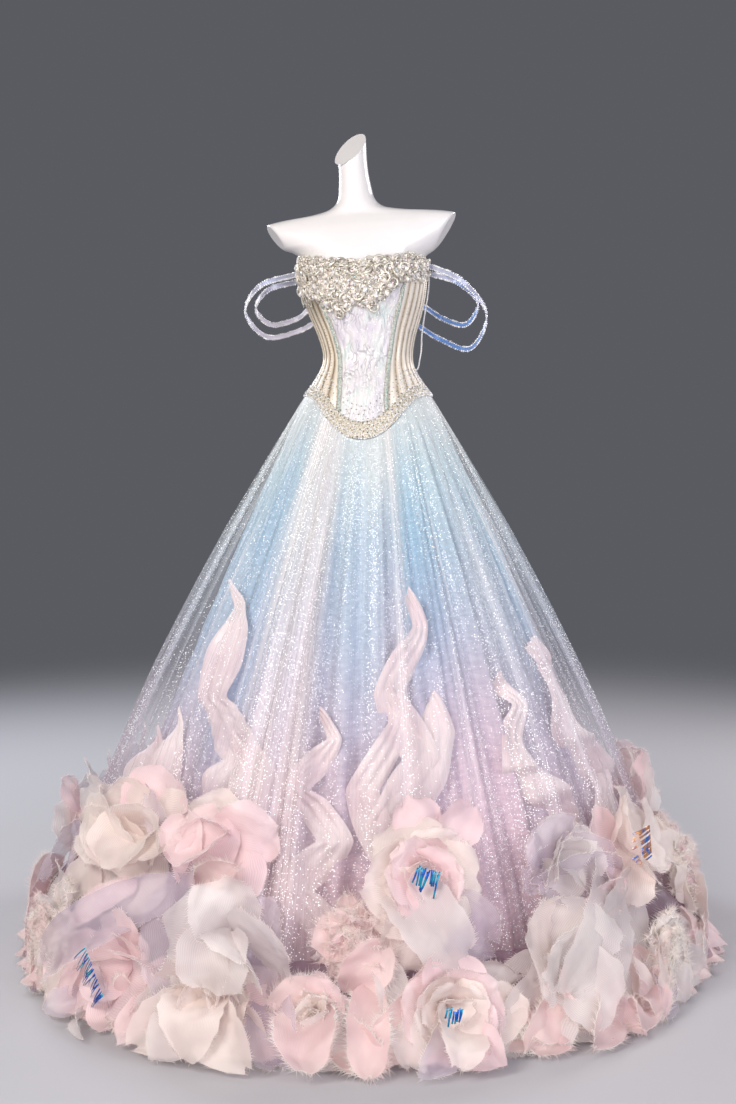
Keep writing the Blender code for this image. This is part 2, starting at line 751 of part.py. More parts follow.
def smooth_path(stops, count):
    """count points on a smooth curve through the stops, evenly spaced in its parameter."""
    found = []
    for k in range(count):
        at = (len(stops) - 1) * k / (count - 1)
        i = min(int(at), len(stops) - 2)
        t = at - i
        a, b = stops[max(i - 1, 0)], stops[i]
        c, d = stops[i + 1], stops[min(i + 2, len(stops) - 1)]
        found.append(
            0.5 * (2 * b + (c - a) * t + (2 * a - 5 * b + 4 * c - d) * t**2 + (3 * b - a - 3 * c + d) * t**3)
        )
    return found


def make_strap(strap):
    """A ribbon that leaves the bodice in front, drops round the upper arm and returns behind."""
    clear = BONE_RELIEF + 0.0013
    front = ring_point(BODICE, math.radians(strap.side * strap.front_deg), strap.front_z, clear)
    back_clear = clear + STRAP_WIDTH * BUST_SLOPE / 2
    back = ring_point(BODICE, math.radians(strap.side * strap.back_deg), strap.back_z, back_clear)
    past_front = Vector((strap.side * 0.012, -0.002, -0.002))
    past_back = Vector((strap.side * 0.010, 0.008, 0.0))
    mid_x = mix(abs(front.x), strap.reach, 0.62)
    low_x = mix(abs(back.x), strap.reach, 0.78)
    rise_x = mix(abs(back.x), strap.reach, 0.36)
    stops = [
        front,
        front + past_front,
        Vector((strap.side * mid_x, -strap.swing, mix(strap.out_z, strap.front_z, 0.60))),
        Vector((strap.side * strap.reach, 0.015, strap.out_z)),
        Vector((strap.side * low_x, 0.015 + strap.swing, strap.drop_z)),
        Vector((strap.side * rise_x, 0.040 + strap.swing, mix(strap.drop_z, strap.back_z, 0.45))),
        back + past_back,
        back,
    ]
    path = smooth_path(stops, STRAP_POINTS)
    grid = []
    for k, point in enumerate(path):
        ahead = path[min(k + 1, len(path) - 1)] - path[max(k - 1, 0)]
        across = Vector((0.0, 0.0, 1.0)) - ahead.normalized() * ahead.normalized().z
        across.normalize()
        grid.append([point + across * STRAP_WIDTH / 2, point - across * STRAP_WIDTH / 2])
    return sheet(strap.name, grid, STRAP_THICK, "strap_ribbon")


def make_bead_strand():
    """The hanging strand, plain here, as a tube of its outer diameter."""
    stops = [
        ring_point(BODICE, math.radians(stop.turn_deg), stop.z, BONE_RELIEF + stop.off_body + 0.0006)
        for stop in STRAND_ROUTE
    ]
    path = smooth_path(stops, 25)
    curve = bpy.data.curves.new("bead_strand", "CURVE")
    curve.dimensions = "3D"
    curve.bevel_depth = STRAND_DIAMETER / 2
    curve.bevel_resolution = 1
    curve.use_fill_caps = True
    spline = curve.splines.new("POLY")
    spline.points.add(len(path) - 1)
    for target, point in zip(spline.points, path):
        target.co = (*point, 1.0)
    return add_object("bead_strand", curve, "bead_silver")


# ---------------------------------------------------------------- skirt, overlay and flounce


def layer_point(layer, turn, down, out=0.0):
    """A point on a skirt layer's outside. down is 0 at the basque line and 1 at its hem."""
    top = ring_point(BODICE, turn, basque_z(turn) - BASQUE_GAP, layer.top_out)
    hem = outward(turn) * layer.hem_radius
    spread = 1.0 - (1.0 - down) ** layer.fullness
    deg = math.degrees(turn)
    depth = min(layer.fold_growth * down, layer.fold_depth)
    uneven = 0.72 + 0.28 * math.cos(math.radians(3 * deg + 40)) * math.cos(math.radians(5 * deg))
    fold = depth * uneven * math.cos(layer.folds * turn)
    if layer is OVERLAY:
        fold += sum(f.depth * bell(deg, f.turn_deg, f.spread_deg) for f in LARGE_FOLDS) * min(2 * down, 1.0)
    radial = outward(turn) * (fold + out)
    return Vector((
        mix(top.x, hem.x, spread) + radial.x,
        mix(top.y, hem.y, spread) + radial.y,
        mix(top.z, layer.hem_z, down),
    ))


def make_layer_quarter(name, layer, centre_deg, rows, end, finish):
    """A quarter of a skirt layer, cut along the folds that the seams run down."""
    columns = layer.folds // 2
    start = math.radians(centre_deg + layer.turn_deg - 45.0)
    outer, inner = [], []
    for r in range(rows + 1):
        down = end * (r / rows) ** 1.2
        outer_row, inner_row = [], []
        for c in range(columns + 1):
            turn = start + math.radians(90.0) * c / columns
            edge = (c == 0) - (c == columns)
            along_hem = Vector((math.cos(turn), math.sin(turn), 0.0)) * edge * SEAM_GAP / 2
            outer_row.append(layer_point(layer, turn, down) + along_hem)
            inner_row.append(layer_point(layer, turn, down, -layer.wall) + along_hem)
        outer.append(outer_row)
        inner.append(inner_row)
    return wall(name, outer, inner, finish)


def flounce_point(turn, column, fall, out=0.0):
    """A point on the flounce, which starts where the overlay ends and waves as it flares."""
    down = mix(OVERLAY_END, 1.0, fall)
    point = layer_point(OVERLAY, turn, down, out)
    wave = FLOUNCE_WAVE * (1 if column % 2 else -1) * fall
    point += outward(turn) * (FLOUNCE_SPREAD * fall**0.8 + wave)
    top_z = layer_point(OVERLAY, turn, OVERLAY_END).z - SEAM_GAP
    point.z = mix(top_z, FLOUNCE_HEM_Z, fall)
    return point


def make_flounce(name, centre_deg):
    """Half of the flounce sewn to the overlay's lower edge."""
    columns = OVERLAY.folds
    start = math.radians(centre_deg - 90.0)
    outer, inner = [], []
    for r in range(FLOUNCE_ROWS + 1):
        outer_row, inner_row = [], []
        for c in range(columns + 1):
            turn = start + math.pi * c / columns
            edge = (c == 0) - (c == columns)
            along_hem = Vector((math.cos(turn), math.sin(turn), 0.0)) * edge * SEAM_GAP / 2
            outer_row.append(flounce_point(turn, c, r / FLOUNCE_ROWS) + along_hem)
            inner_row.append(flounce_point(turn, c, r / FLOUNCE_ROWS, -SHEER_WALL) + along_hem)
        outer.append(outer_row)
        inner.append(inner_row)
    return wall(name, outer, inner, "organza_pink")


def make_skirts():
    inner, outer = [], []
    for word, centre in QUARTERS.items():
        inner.append(make_layer_quarter(f"skirt_{word}", INNER, centre, INNER_ROWS, 1.0, "skirt_glitter"))
        outer.append(
            make_layer_quarter(f"overlay_{word}", OVERLAY, centre, OVERLAY_ROWS, OVERLAY_END, "overlay_tulle")
        )
    outer += [make_flounce("flounce_front", 0.0), make_flounce("flounce_back", 180.0)]
    return inner, outer


# ---------------------------------------------------------------- organza strips


def inner_down(z, turn):
    """How far down the inner skirt a height is, from 0 to 1."""
    top = basque_z(turn)
    return (top - z) / (top - INNER.hem_z)


def make_strip(index, strip, supports):
    """A strip of organza that snakes down between the layers and rests on the inner skirt."""
    grid = []
    for r in range(STRIP_ROWS + 1):
        t = r / STRIP_ROWS
        z = mix(strip.top_z, strip.foot_z, t)
        swing = strip.swing_deg * math.sin(math.tau * strip.swings * t)
        centre = math.radians(mix(strip.top_deg, strip.foot_deg, t) + swing)
        half = strip.width / 2 * min(1.0, 0.10 + 2.2 * t) * (0.82 + 0.18 * math.cos(9.0 * t))
        base = layer_point(INNER._replace(fold_depth=0.0), centre, inner_down(z, centre))
        lift = STRIP_LIFT + INNER.fold_depth
        row = []
        for side in (-1.0, 0.0, 1.0):
            across = Vector((math.cos(centre), math.sin(centre), 0.0)) * side * half
            ripple = 0.005 * side * math.sin(math.tau * strip.swings * t + 1.0)
            bow = Vector((0.0, 0.0, 0.012 * side * math.cos(math.tau * strip.swings * t)))
            row.append(base + across + bow + outward(centre) * (lift + ripple))
        grid.append(row)
    obj = sheet(f"organza_strip_{index + 1:02d}", grid, PETAL_WALL, "organza_pink")
    middle = math.radians((strip.top_deg + strip.foot_deg) / 2)
    settle(obj, -outward(middle), supports, 0.05)
    return obj


# ---------------------------------------------------------------- flowers and tufts


def petal_point(flower, tier, column, reach, side):
    """A point on a tier of petals round +Z. side is 1 on their upper face and -1 below."""
    in_petal = (column + tier.shift) % COLUMNS_PER_PETAL
    number = (column + tier.shift) // COLUMNS_PER_PETAL
    length = flower.radius * tier.length * (1.0 if in_petal else 1.0 - NOTCH_DEPTH * reach)
    length *= 1.0 + 0.10 * math.sin(2.6 * number + 1.9 * flower.radius * 100)
    rise = math.radians(flower.cup_deg + tier.more_cup_deg + 5.0 * math.sin(1.7 * number))
    curl = flower.radius * tier.curl * reach**2 * (1.0 if in_petal == 1 else -0.6)
    radial = length * reach * math.cos(rise) - side * PETAL_WALL / 2 * math.sin(rise)
    height = length * reach * math.sin(rise) + curl + side * PETAL_WALL / 2 * math.cos(rise)
    angle = math.tau * column / (flower.petals * COLUMNS_PER_PETAL)
    return Vector((radial * math.cos(angle), radial * math.sin(angle), height))


def make_flower(index, flower, supports):
    """Two tiers of cupped petals as one wall, pressed against the hem from outside."""
    columns = flower.petals * COLUMNS_PER_PETAL
    points = [Vector((0.0, 0.0, 0.10 * flower.radius))]
    for ring in FLOWER_RINGS:
        for column in range(columns):
            points.append(petal_point(flower, ring.tier, column, ring.reach, ring.side))
    points.append(Vector((0.0, 0.0, -PETAL_WALL)))
    last = len(points) - 1
    start = 1 + (len(FLOWER_RINGS) - 1) * columns
    faces = []
    for c in range(columns):
        n = (c + 1) % columns
        faces.append((0, 1 + c, 1 + n))
        faces.append((last, start + n, start + c))
        for r in range(len(FLOWER_RINGS) - 1):
            low, high = 1 + r * columns, 1 + (r + 1) * columns
            if FLOWER_RINGS[r].side + FLOWER_RINGS[r + 1].side < 0:
                faces += halves(high + c, high + n, low + n, low + c)
            else:
                faces += halves(low + c, high + c, high + n, low + n)
    mesh = bpy.data.meshes.new(f"hem_flower_{index + 1:02d}")
    mesh.from_pydata([tuple(p) for p in points], [], faces)
    face_out(mesh)
    mesh.shade_smooth()
    obj = add_object(mesh.name, mesh, "organza_pink")
    turn = math.radians(flower.turn_deg)
    facing = outward(turn) * math.cos(math.radians(flower.tip_deg))
    facing.z = math.sin(math.radians(flower.tip_deg))
    turned = facing.to_track_quat("Z", "Y").to_matrix()
    spin = Matrix.Rotation(math.radians(SPIN_PER_FLOWER_DEG * index), 3, "Z")
    obj.rotation_euler = (turned @ spin).to_euler()
    obj.location = outward(turn) * FLOWER_START_RADIUS + Vector((0.0, 0.0, flower.z))
    bpy.context.view_layer.update()
    lowest = min((obj.matrix_world @ v.co).z for v in obj.data.vertices)
    obj.location.z += max(FLOOR_CLEARANCE - lowest, 0.0)
    settle(obj, -outward(turn), supports, FLOWER_START_RADIUS)
    return obj


def make_tuft(index, tuft, flower_object):
    """Strands of stiff film standing out of a small round backing, in the flower's heart."""
    bpy.ops.mesh.primitive_cylinder_add(
        vertices=8, radius=TUFT_BACKING_RADIUS, depth=TUFT_BACKING_THICK
    )
    pieces = [bpy.context.object]
    for k in range(tuft.strands):
        spin = math.tau * k / tuft.strands
        ring = 0.45 + 0.45 * (k % 2)
        root = Vector((math.cos(spin), math.sin(spin), 0.0)) * TUFT_BACKING_RADIUS * ring * 0.85
        lean = Vector((math.cos(spin), math.sin(spin), 0.0)) * ring * 0.55 + Vector((0.0, 0.0, 1.0))
        length = tuft.length * (0.75 + 0.25 * math.cos(2.3 * k))
        tip = root + lean.normalized() * length
        middle = root.lerp(tip, 0.5)
        bpy.ops.mesh.primitive_cylinder_add(
            vertices=STRAND_SIDES,
            radius=STRAND_RADIUS,
            depth=length,
            location=middle,
            rotation=lean.to_track_quat("Z", "Y").to_euler(),
        )
        pieces.append(bpy.context.object)
    obj = join_pieces(f"film_tuft_{index + 1}", pieces, "film_blue")
    obj.rotation_euler = flower_object.rotation_euler
    facing = flower_object.matrix_world.to_3x3() @ Vector((0.0, 0.0, 1.0))
    obj.location = flower_object.location + facing * 0.25
    settle(obj, -facing, [flower_object], 0.3)
    return obj


# ---------------------------------------------------------------- the gown

clear_scene()
gown_collection = bpy.data.collections.new("ball_gown")
bpy.context.scene.collection.children.link(gown_collection)

make_form()
make_stand()
bodice_pieces = make_bodice()
make_crust()
make_back_trim()
make_princess_trim(1, "left")
make_princess_trim(-1, "right")
make_basque_band()
for strap_row in STRAPS:
    make_strap(strap_row)
make_bead_strand()
inner_pieces, outer_pieces = make_skirts()
for strip_index, strip_row in enumerate(STRIPS):
    make_strip(strip_index, strip_row, inner_pieces)
hem_pieces = list(outer_pieces)
flower_objects = []
for flower_index, flower_row in enumerate(FLOWERS):
    flower_objects.append(make_flower(flower_index, flower_row, hem_pieces))
    hem_pieces.append(flower_objects[-1])
for tuft_index, tuft_row in enumerate(TUFTS):
    make_tuft(tuft_index, tuft_row, flower_objects[tuft_row.flower])
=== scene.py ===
# %% [markdown]
# # A beaded ball gown on a dress form
# The gown is a boned corset with an encrusted neckline, drop straps, a gathered glitter skirt, a
# sheer overlay and a border of organza flowers. It stands on a white limbless dress form.
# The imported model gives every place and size; this lesson dresses it in finer shapes and finishes.

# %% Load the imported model
import math
import random

import bmesh
import bpy
import numpy as np
from mathutils import Matrix, Vector


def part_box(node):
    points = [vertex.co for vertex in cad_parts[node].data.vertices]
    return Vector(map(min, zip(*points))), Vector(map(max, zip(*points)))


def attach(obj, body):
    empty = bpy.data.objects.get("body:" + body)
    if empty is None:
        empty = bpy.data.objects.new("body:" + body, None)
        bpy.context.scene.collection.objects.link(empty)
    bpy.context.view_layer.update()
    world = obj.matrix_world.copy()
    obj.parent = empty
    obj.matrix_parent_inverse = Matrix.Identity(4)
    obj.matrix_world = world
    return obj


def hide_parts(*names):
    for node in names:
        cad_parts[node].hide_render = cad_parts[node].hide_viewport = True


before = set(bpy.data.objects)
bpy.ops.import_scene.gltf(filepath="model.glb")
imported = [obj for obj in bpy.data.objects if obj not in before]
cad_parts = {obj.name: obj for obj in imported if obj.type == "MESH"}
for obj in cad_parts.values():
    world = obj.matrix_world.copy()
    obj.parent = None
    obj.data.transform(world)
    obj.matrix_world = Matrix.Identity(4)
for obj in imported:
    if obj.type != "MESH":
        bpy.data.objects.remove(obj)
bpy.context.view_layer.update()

# %% [markdown]
# ## Tools for finishes
# A finish is a small graph of nodes. One function adds a node with its settings and links, a table
# says what the commonest nodes take and give, and one function turns a dyer's hex colour into the
# linear numbers that a shader works in.

# %% One function adds a node, one reads a colour


def add(tree, kind, inputs=None, **settings):
    """A new node. inputs maps a socket's name or number to a value or to another node's output."""
    made = tree.nodes.new(kind)
    for key, value in settings.items():
        setattr(made, key, value)
    for key, value in (inputs or {}).items():
        if isinstance(value, bpy.types.NodeSocket):
            tree.links.new(value, made.inputs[key])
        else:
            made.inputs[key].default_value = value
    return made


def dye(hex_colour):
    """An sRGB hex colour as linear red, green, blue and 1."""
    parts = [int(hex_colour[i : i + 2], 16) / 255 for i in (1, 3, 5)]
    linear = [c / 12.92 if c <= 0.04045 else ((c + 0.055) / 1.055) ** 2.4 for c in parts]
    return (*linear, 1.0)


def new_finish(name, **shader_inputs):
    """A material with one Principled shader. Returns the material, its tree and the shader."""
    material = bpy.data.materials.new(name)
    material.use_nodes = True
    tree = material.node_tree
    shader = tree.nodes["Principled BSDF"]
    for key, value in shader_inputs.items():
        shader.inputs[key.replace("_", " ")].default_value = value
    return material, tree, shader


# the commonest nodes: Blender's name, settings, the inputs in the order that node() takes them (the
# rest keep their defaults), and the output that node() gives back
NODES = {
    "place": ("ShaderNodeTexCoord", {}, (), "Object"),
    "cloth": ("ShaderNodeUVMap", {"uv_map": "UVMap"}, (), "UV"),
    "stretch": ("ShaderNodeMapping", {}, ("Vector", "Scale"), 0),
    "noise": ("ShaderNodeTexNoise", {}, ("Vector", "Scale", "Detail", "Roughness", "Distortion"), "Fac"),
    "stored colour": ("ShaderNodeAttribute", {}, (), "Color"),
    "stored number": ("ShaderNodeAttribute", {}, (), "Fac"),
    # share, first colour, second colour
    "mix": ("ShaderNodeMix", {"data_type": "RGBA"}, (0, 6, 7), 2),
    # a smooth step from one number to another as the value goes from low to high
    "ramp": (
        "ShaderNodeMapRange", {"interpolation_type": "SMOOTHSTEP"},
        ("Value", "From Min", "From Max", "To Min", "To Max"), "Result",
    ),
    "bumps": ("ShaderNodeBump", {}, ("Height", "Strength", "Distance"), 0),
    # low, high, seed
    "random number": ("FunctionNodeRandomValue", {"data_type": "FLOAT"}, (2, 3, "Seed"), 1),
    "random vector": ("FunctionNodeRandomValue", {"data_type": "FLOAT_VECTOR"}, (0, 1, "Seed"), 0),
}
for sum_name in ("ADD", "SUBTRACT", "MULTIPLY", "MAXIMUM", "LESS_THAN"):
    NODES[sum_name] = ("ShaderNodeMath", {"operation": sum_name}, (0, 1), 0)


def node(tree, kind, *values, **settings):
    """The usual output of a new node of a kind in the table, with values for its inputs in order."""
    blender_name, usual, sockets, output = NODES[kind]
    return add(tree, blender_name, dict(zip(sockets, values)), **usual, **settings).outputs[output]


def cells(tree, place, scale):
    """For cells 1 / scale metres wide, a chance from 0 to 1 and the distance from the middle."""
    made = add(tree, "ShaderNodeTexVoronoi", {"Vector": place, "Scale": scale})
    chance = add(tree, "ShaderNodeSeparateColor", {"Color": made.outputs["Color"]}).outputs[0]
    return chance, made.outputs["Distance"]


def set_stops(colour_ramp, stops):
    """Gives a Color Ramp node its stops, each a place and a hex colour."""
    elements = colour_ramp.color_ramp.elements
    for element, (position, colour) in zip((elements[0], elements[1]), (stops[0], stops[-1])):
        element.position, element.color = position, dye(colour)
    for position, colour in stops[1:-1]:
        elements.new(position).color = dye(colour)


def drive(tree, shader, **outputs):
    """Links outputs to a shader's inputs."""
    for key, output in outputs.items():
        tree.links.new(output, shader.inputs[key.replace("_", " ")])


# %% [markdown]
# ## Camera, floor and light
# The gown is seen from a little to its left, from about waist height, as a visitor would stand
# before it. The floor is pale and fades into a grey studio, so that the sheer cloth shows against
# something darker. Large soft lights come from the front, and two from behind shine through the
# layers.

# %% Camera
CAMERA_TURN = math.radians(6.0)
CAMERA_DISTANCE, CAMERA_HEIGHT, CAMERA_DROP_DEG = 2.95, 0.977, 3.33
camera_data = bpy.data.cameras.new("camera")
camera_data.sensor_fit = "AUTO"
camera_data.sensor_width = 36.0
camera_data.lens = 45.8
camera = bpy.data.objects.new("camera", camera_data)
camera.location = (
    math.sin(CAMERA_TURN) * CAMERA_DISTANCE, -math.cos(CAMERA_TURN) * CAMERA_DISTANCE, CAMERA_HEIGHT,
)
camera.rotation_euler = (math.radians(90.0 - CAMERA_DROP_DEG), 0.0, CAMERA_TURN)
bpy.context.scene.collection.objects.link(camera)
bpy.context.scene.camera = camera

# %% Floor and studio light
bpy.context.scene.view_settings.view_transform = "Standard"
# a line of sight passes through many layers of organza before it meets something solid
bpy.context.scene.cycles.transparent_max_bounces = 32
floor_finish, tree, shader = new_finish("matt painted floor", Roughness=0.75, Base_Color=dye("#C4C4C8"))
reach = add(tree, "ShaderNodeVectorMath", {0: node(tree, "place")}, operation="LENGTH").outputs["Value"]
drive(tree, shader, Alpha=node(tree, "ramp", reach, 1.6, 5.5, 1.0, 0.0))

bm = bmesh.new()
bmesh.ops.create_circle(bm, cap_ends=True, segments=96, radius=6.0)
floor_mesh = bpy.data.meshes.new("floor")
bm.to_mesh(floor_mesh)
bm.free()
floor = bpy.data.objects.new("floor", floor_mesh)
floor.data.materials.append(floor_finish)
floor.location.z = -0.001
bpy.context.scene.collection.objects.link(floor)

world = bpy.context.scene.world or bpy.data.worlds.new("studio")
bpy.context.scene.world = world
world.use_nodes = True
world.node_tree.nodes["Background"].inputs["Color"].default_value = dye("#6A6C73")
world.node_tree.nodes["Background"].inputs["Strength"].default_value = 0.70


def soft_light(name, place, power, size, tint="#FFFFFF"):
    data = bpy.data.lights.new(name, "AREA")
    data.energy, data.size, data.color = power, size, dye(tint)[:3]
    lamp = bpy.data.objects.new(name, data)
    lamp.location = place
    lamp.rotation_euler = (Vector((0.0, 0.0, 0.75)) - Vector(place)).to_track_quat("-Z", "Y").to_euler()
    bpy.context.scene.collection.objects.link(lamp)


soft_light("key", (-1.7, -3.2, 2.7), 118.0, 1.6, "#FFF8F2")
soft_light("fill", (2.6, -2.6, 1.7), 62.0, 2.0, "#F2F5FF")
soft_light("back_left", (-2.3, 2.2, 2.3), 60.0, 1.4, "#F2F6FF")
soft_light("back_right", (2.3, 2.2, 2.3), 60.0, 1.4, "#FFF6F6")
soft_light("low_front", (0.4, -3.4, 0.35), 34.0, 1.8, "#FFF3F4")
print("camera at", [round(x, 2) for x in camera.location])

# %% [markdown]
# ## The figure under the cloth
# Everything on the bodice follows one oval that changes with height. The table gives, at each
# height, half the width, the depth before and behind the side seams, and the lean to one side.
# A smooth curve runs through the rows. A turn is an angle from the centre front towards +X.

# %% Ovals of the worn bodice, and the curve through a table
# height, half width, front depth, back depth, lean
BODICE = np.array([
    (1.030, 0.2000, 0.1280, 0.1500, 0.000), (1.080, 0.1650, 0.1180, 0.1350, 0.000),
    (1.130, 0.1320, 0.1060, 0.1150, 0.000), (1.156, 0.1160, 0.0960, 0.1010, 0.000),
    (1.189, 0.0970, 0.0830, 0.0830, 0.000), (1.216, 0.0925, 0.0780, 0.0770, 0.000),
    (1.252, 0.0995, 0.0830, 0.0810, -0.002), (1.294, 0.1145, 0.0950, 0.0870, -0.005),
    (1.330, 0.1250, 0.1070, 0.0920, -0.007), (1.370, 0.1310, 0.1110, 0.0940, -0.009),
    (1.420, 0.1330, 0.0990, 0.0910, -0.011),
])
WAIST_Z, BUST_Z, BODICE_TOP = 1.216, 1.370, 1.42
# the highest points of the bodice's lower and upper edges
BASQUE_HIGH, NECK_HIGH = 1.132, 1.412


def along(table, column, at):
    """A column's value at each height, on a smooth curve through the table's rows."""
    keys, values = table[:, 0], table[:, column]
    at = np.clip(at, keys[0], keys[-1])
    i = np.clip(np.searchsorted(keys, at, side="right") - 1, 0, len(keys) - 2)
    before, after = np.maximum(i - 1, 0), np.minimum(i + 2, len(keys) - 1)
    step = keys[i + 1] - keys[i]
    slope_in = (values[i + 1] - values[before]) / (keys[i + 1] - keys[before])
    slope_out = (values[after] - values[i]) / (keys[after] - keys[i])
    t = (at - keys[i]) / step
    return (
        values[i] * (2 * t**3 - 3 * t**2 + 1)
        + values[i + 1] * (3 * t**2 - 2 * t**3)
        + slope_in * step * (t**3 - 2 * t**2 + t)
        + slope_out * step * (t**3 - t**2)
    )


def mix(a, b, t):
    return a + (b - a) * t


def bell(angle_deg, centre_deg, spread_deg):
    """1 at the centre, falling smoothly to 0 on either side."""
    away = (angle_deg - centre_deg + 180.0) % 360.0 - 180.0
    return np.exp(-((away / spread_deg) ** 2))


def outward(turn):
    """The level direction that each turn points to."""
    turn = np.asarray(turn, float)
    return np.stack([np.sin(turn), -np.cos(turn), np.zeros_like(turn)], -1)


def ring(table, turn, z, out=0.0):
    """Points on the oval at each height, moved out from it by out."""
    turn, z, out = np.broadcast_arrays(np.asarray(turn, float), np.asarray(z, float), np.asarray(out, float))
    half = along(table, 1, z)
    depth = np.where(np.cos(turn) > 0, along(table, 2, z), along(table, 3, z))
    across, fore = np.sin(turn) / half, -np.cos(turn) / depth
    length = np.hypot(across, fore)
    x = half * np.sin(turn) + along(table, 4, z) + across / length * out
    y = -depth * np.cos(turn) + fore / length * out
    return np.stack([x, y, z], -1)


def basque_z(turn):
    """The bodice's lower edge, with a deep rounded point in front."""
    deg = np.degrees(turn)
    return BASQUE_HIGH - 0.093 * bell(deg, 0.0, 33.0) - 0.047 * bell(deg, 180.0, 42.0)


def neckline_z(turn):
    """The bodice's upper edge: a slight dip in front, and lower behind."""
    front = np.maximum(np.cos(turn), 0.0)
    return NECK_HIGH - 0.026 * front**2 - 0.045 * np.sin(np.asarray(turn) / 2) ** 4


# %% Turn grids of points into cloth
root_pieces = []


def link_piece(name, mesh, finish=None):
    """A finished mesh as an object at the origin, riding on the one body."""
    piece = bpy.data.objects.new(name, mesh)
    if finish is not None:
        mesh.materials.clear()
        mesh.materials.append(finish)
    bpy.context.scene.collection.objects.link(piece)
    root_pieces.append(piece)
    return piece


def cloth_mesh(name, grid, closed=False, size=(1.0, 1.0)):
    """A mesh through rows and columns of points, with a UV map in metres of flat cloth."""
    rows, columns = grid.shape[:2]
    index = np.arange(rows * columns).reshape(rows, columns)
    left = index if closed else index[:, :-1]
    right = np.roll(index, -1, axis=1) if closed else index[:, 1:]
    faces = np.stack([left[1:], right[1:], right[:-1], left[:-1]], -1).reshape(-1, 4)
    mesh = bpy.data.meshes.new(name)
    mesh.from_pydata(grid.reshape(-1, 3).tolist(), [], faces.tolist())
    wide = left.shape[1]
    u = np.arange(wide) / wide
    v = 1.0 - np.arange(rows) / (rows - 1)
    u0, v0 = np.meshgrid(u, v[:-1])
    u1, v1 = u0 + 1.0 / wide, np.meshgrid(u, v[1:])[1]
    corners = np.stack([u0, v1, u1, v1, u1, v0, u0, v0], -1).reshape(-1, 2) * np.array(size)
    mesh.uv_layers.new(name="UVMap").data.foreach_set("uv", corners.ravel())
    mesh.shade_smooth()
    return mesh


def paint(mesh, name, values):
    """Stores one number or one colour for each point, for a finish to read."""
    values = np.asarray(values, float)
    if values.shape[-1] == 3 and values.ndim > 1:
        colours = np.concatenate([values.reshape(-1, 3), np.ones((len(mesh.vertices), 1))], 1)
        mesh.color_attributes.new(name, "FLOAT_COLOR", "POINT").data.foreach_set("color", colours.ravel())
    else:
        mesh.attributes.new(name, "FLOAT", "POINT").data.foreach_set("value", values.ravel())


def thicken(piece, thickness, offset=-1.0):
    """Gives a sheet its wall with a Solidify modifier."""
    wall = piece.modifiers.new("wall", "SOLIDIFY")
    wall.thickness, wall.offset = thickness, offset
    return piece


def joined(name, meshes, finish):
    """Several meshes as one piece."""
    bm = bmesh.new()
    for mesh in meshes:
        bm.from_mesh(mesh)
        bpy.data.meshes.remove(mesh)
    whole = bpy.data.meshes.new(name)
    bm.to_mesh(whole)
    bm.free()
    whole.shade_smooth()
    return link_piece(name, whole, finish)


# %% Run a node tree over a mesh and keep the plain result


SOCKET_KINDS = {float: "NodeSocketFloat", int: "NodeSocketInt", type(None): "NodeSocketMaterial"}


def new_tree(name, **defaults):
    """A geometry tree whose inputs take their kind from their default. None stands for a finish."""
    tree = bpy.data.node_groups.new(name, "GeometryNodeTree")
    tree.interface.new_socket("Geometry", in_out="OUTPUT", socket_type="NodeSocketGeometry")
    tree.interface.new_socket("Geometry", in_out="INPUT", socket_type="NodeSocketGeometry")
    for label, default in defaults.items():
        socket = tree.interface.new_socket(label, in_out="INPUT", socket_type=SOCKET_KINDS[type(default)])
        if default is not None:
            socket.default_value = default
    return tree, add(tree, "NodeGroupInput").outputs


def even_curve(tree, given):
    """The edges that come in as a curve with a point every Spacing metres."""
    curve = add(tree, "GeometryNodeMeshToCurve", {"Mesh": given["Geometry"]})
    inputs = {"Curve": curve.outputs[0], "Length": given["Spacing"]}
    return add(tree, "GeometryNodeResampleCurve", inputs, mode="LENGTH").outputs[0]


def finish_tree(tree, given, geometry):
    """Ends a tree in real geometry with its finish set."""
    real = add(tree, "GeometryNodeRealizeInstances", {"Geometry": geometry})
    smooth = add(tree, "GeometryNodeSetShadeSmooth", {"Geometry": real.outputs[0]})
    dressed = add(
        tree, "GeometryNodeSetMaterial", {"Geometry": smooth.outputs[0], "Material": given["Finish"]}
    )
    add(tree, "NodeGroupOutput", {"Geometry": dressed.outputs[0]})
    return tree


def grow(name, tree, mesh, **values):
    """The plain mesh that a tree makes from a mesh, as a finished piece."""
    seed_object = bpy.data.objects.new(name + "_source", mesh)
    bpy.context.scene.collection.objects.link(seed_object)
    nodes = seed_object.modifiers.new("nodes", "NODES")
    nodes.node_group = tree
    for item in tree.interface.items_tree:
        key = item.name.replace(" ", "_").lower()
        if item.in_out == "INPUT" and key in values:
            nodes[item.identifier] = values[key]
    bpy.context.view_layer.update()
    made = bpy.data.meshes.new_from_object(seed_object.evaluated_get(bpy.context.evaluated_depsgraph_get()))
    made.name = name
    bpy.data.objects.remove(seed_object)
    return link_piece(name, made)


def lines_mesh(name, paths):
    """Paths of points as a mesh of edges only."""
    points, edges = [], []
    for path in paths:
        start = len(points)
        points += [tuple(float(x) for x in p) for p in path]
        edges += [(k, k + 1) for k in range(start, len(points) - 1)]
    mesh = bpy.data.meshes.new(name)
    mesh.from_pydata(points, edges, [])
    return mesh


# %% [markdown]
# ## The dress form
# The form is moulded glass fibre under white gloss lacquer, with flat faces where the arms and the
# head would start. It could be carved from a box with modifiers, but here rings of points follow
# its table of ovals, and each flat face is a soft limit that the points slide up to. So the surface
# stays one smooth closed skin with gently rounded rims.

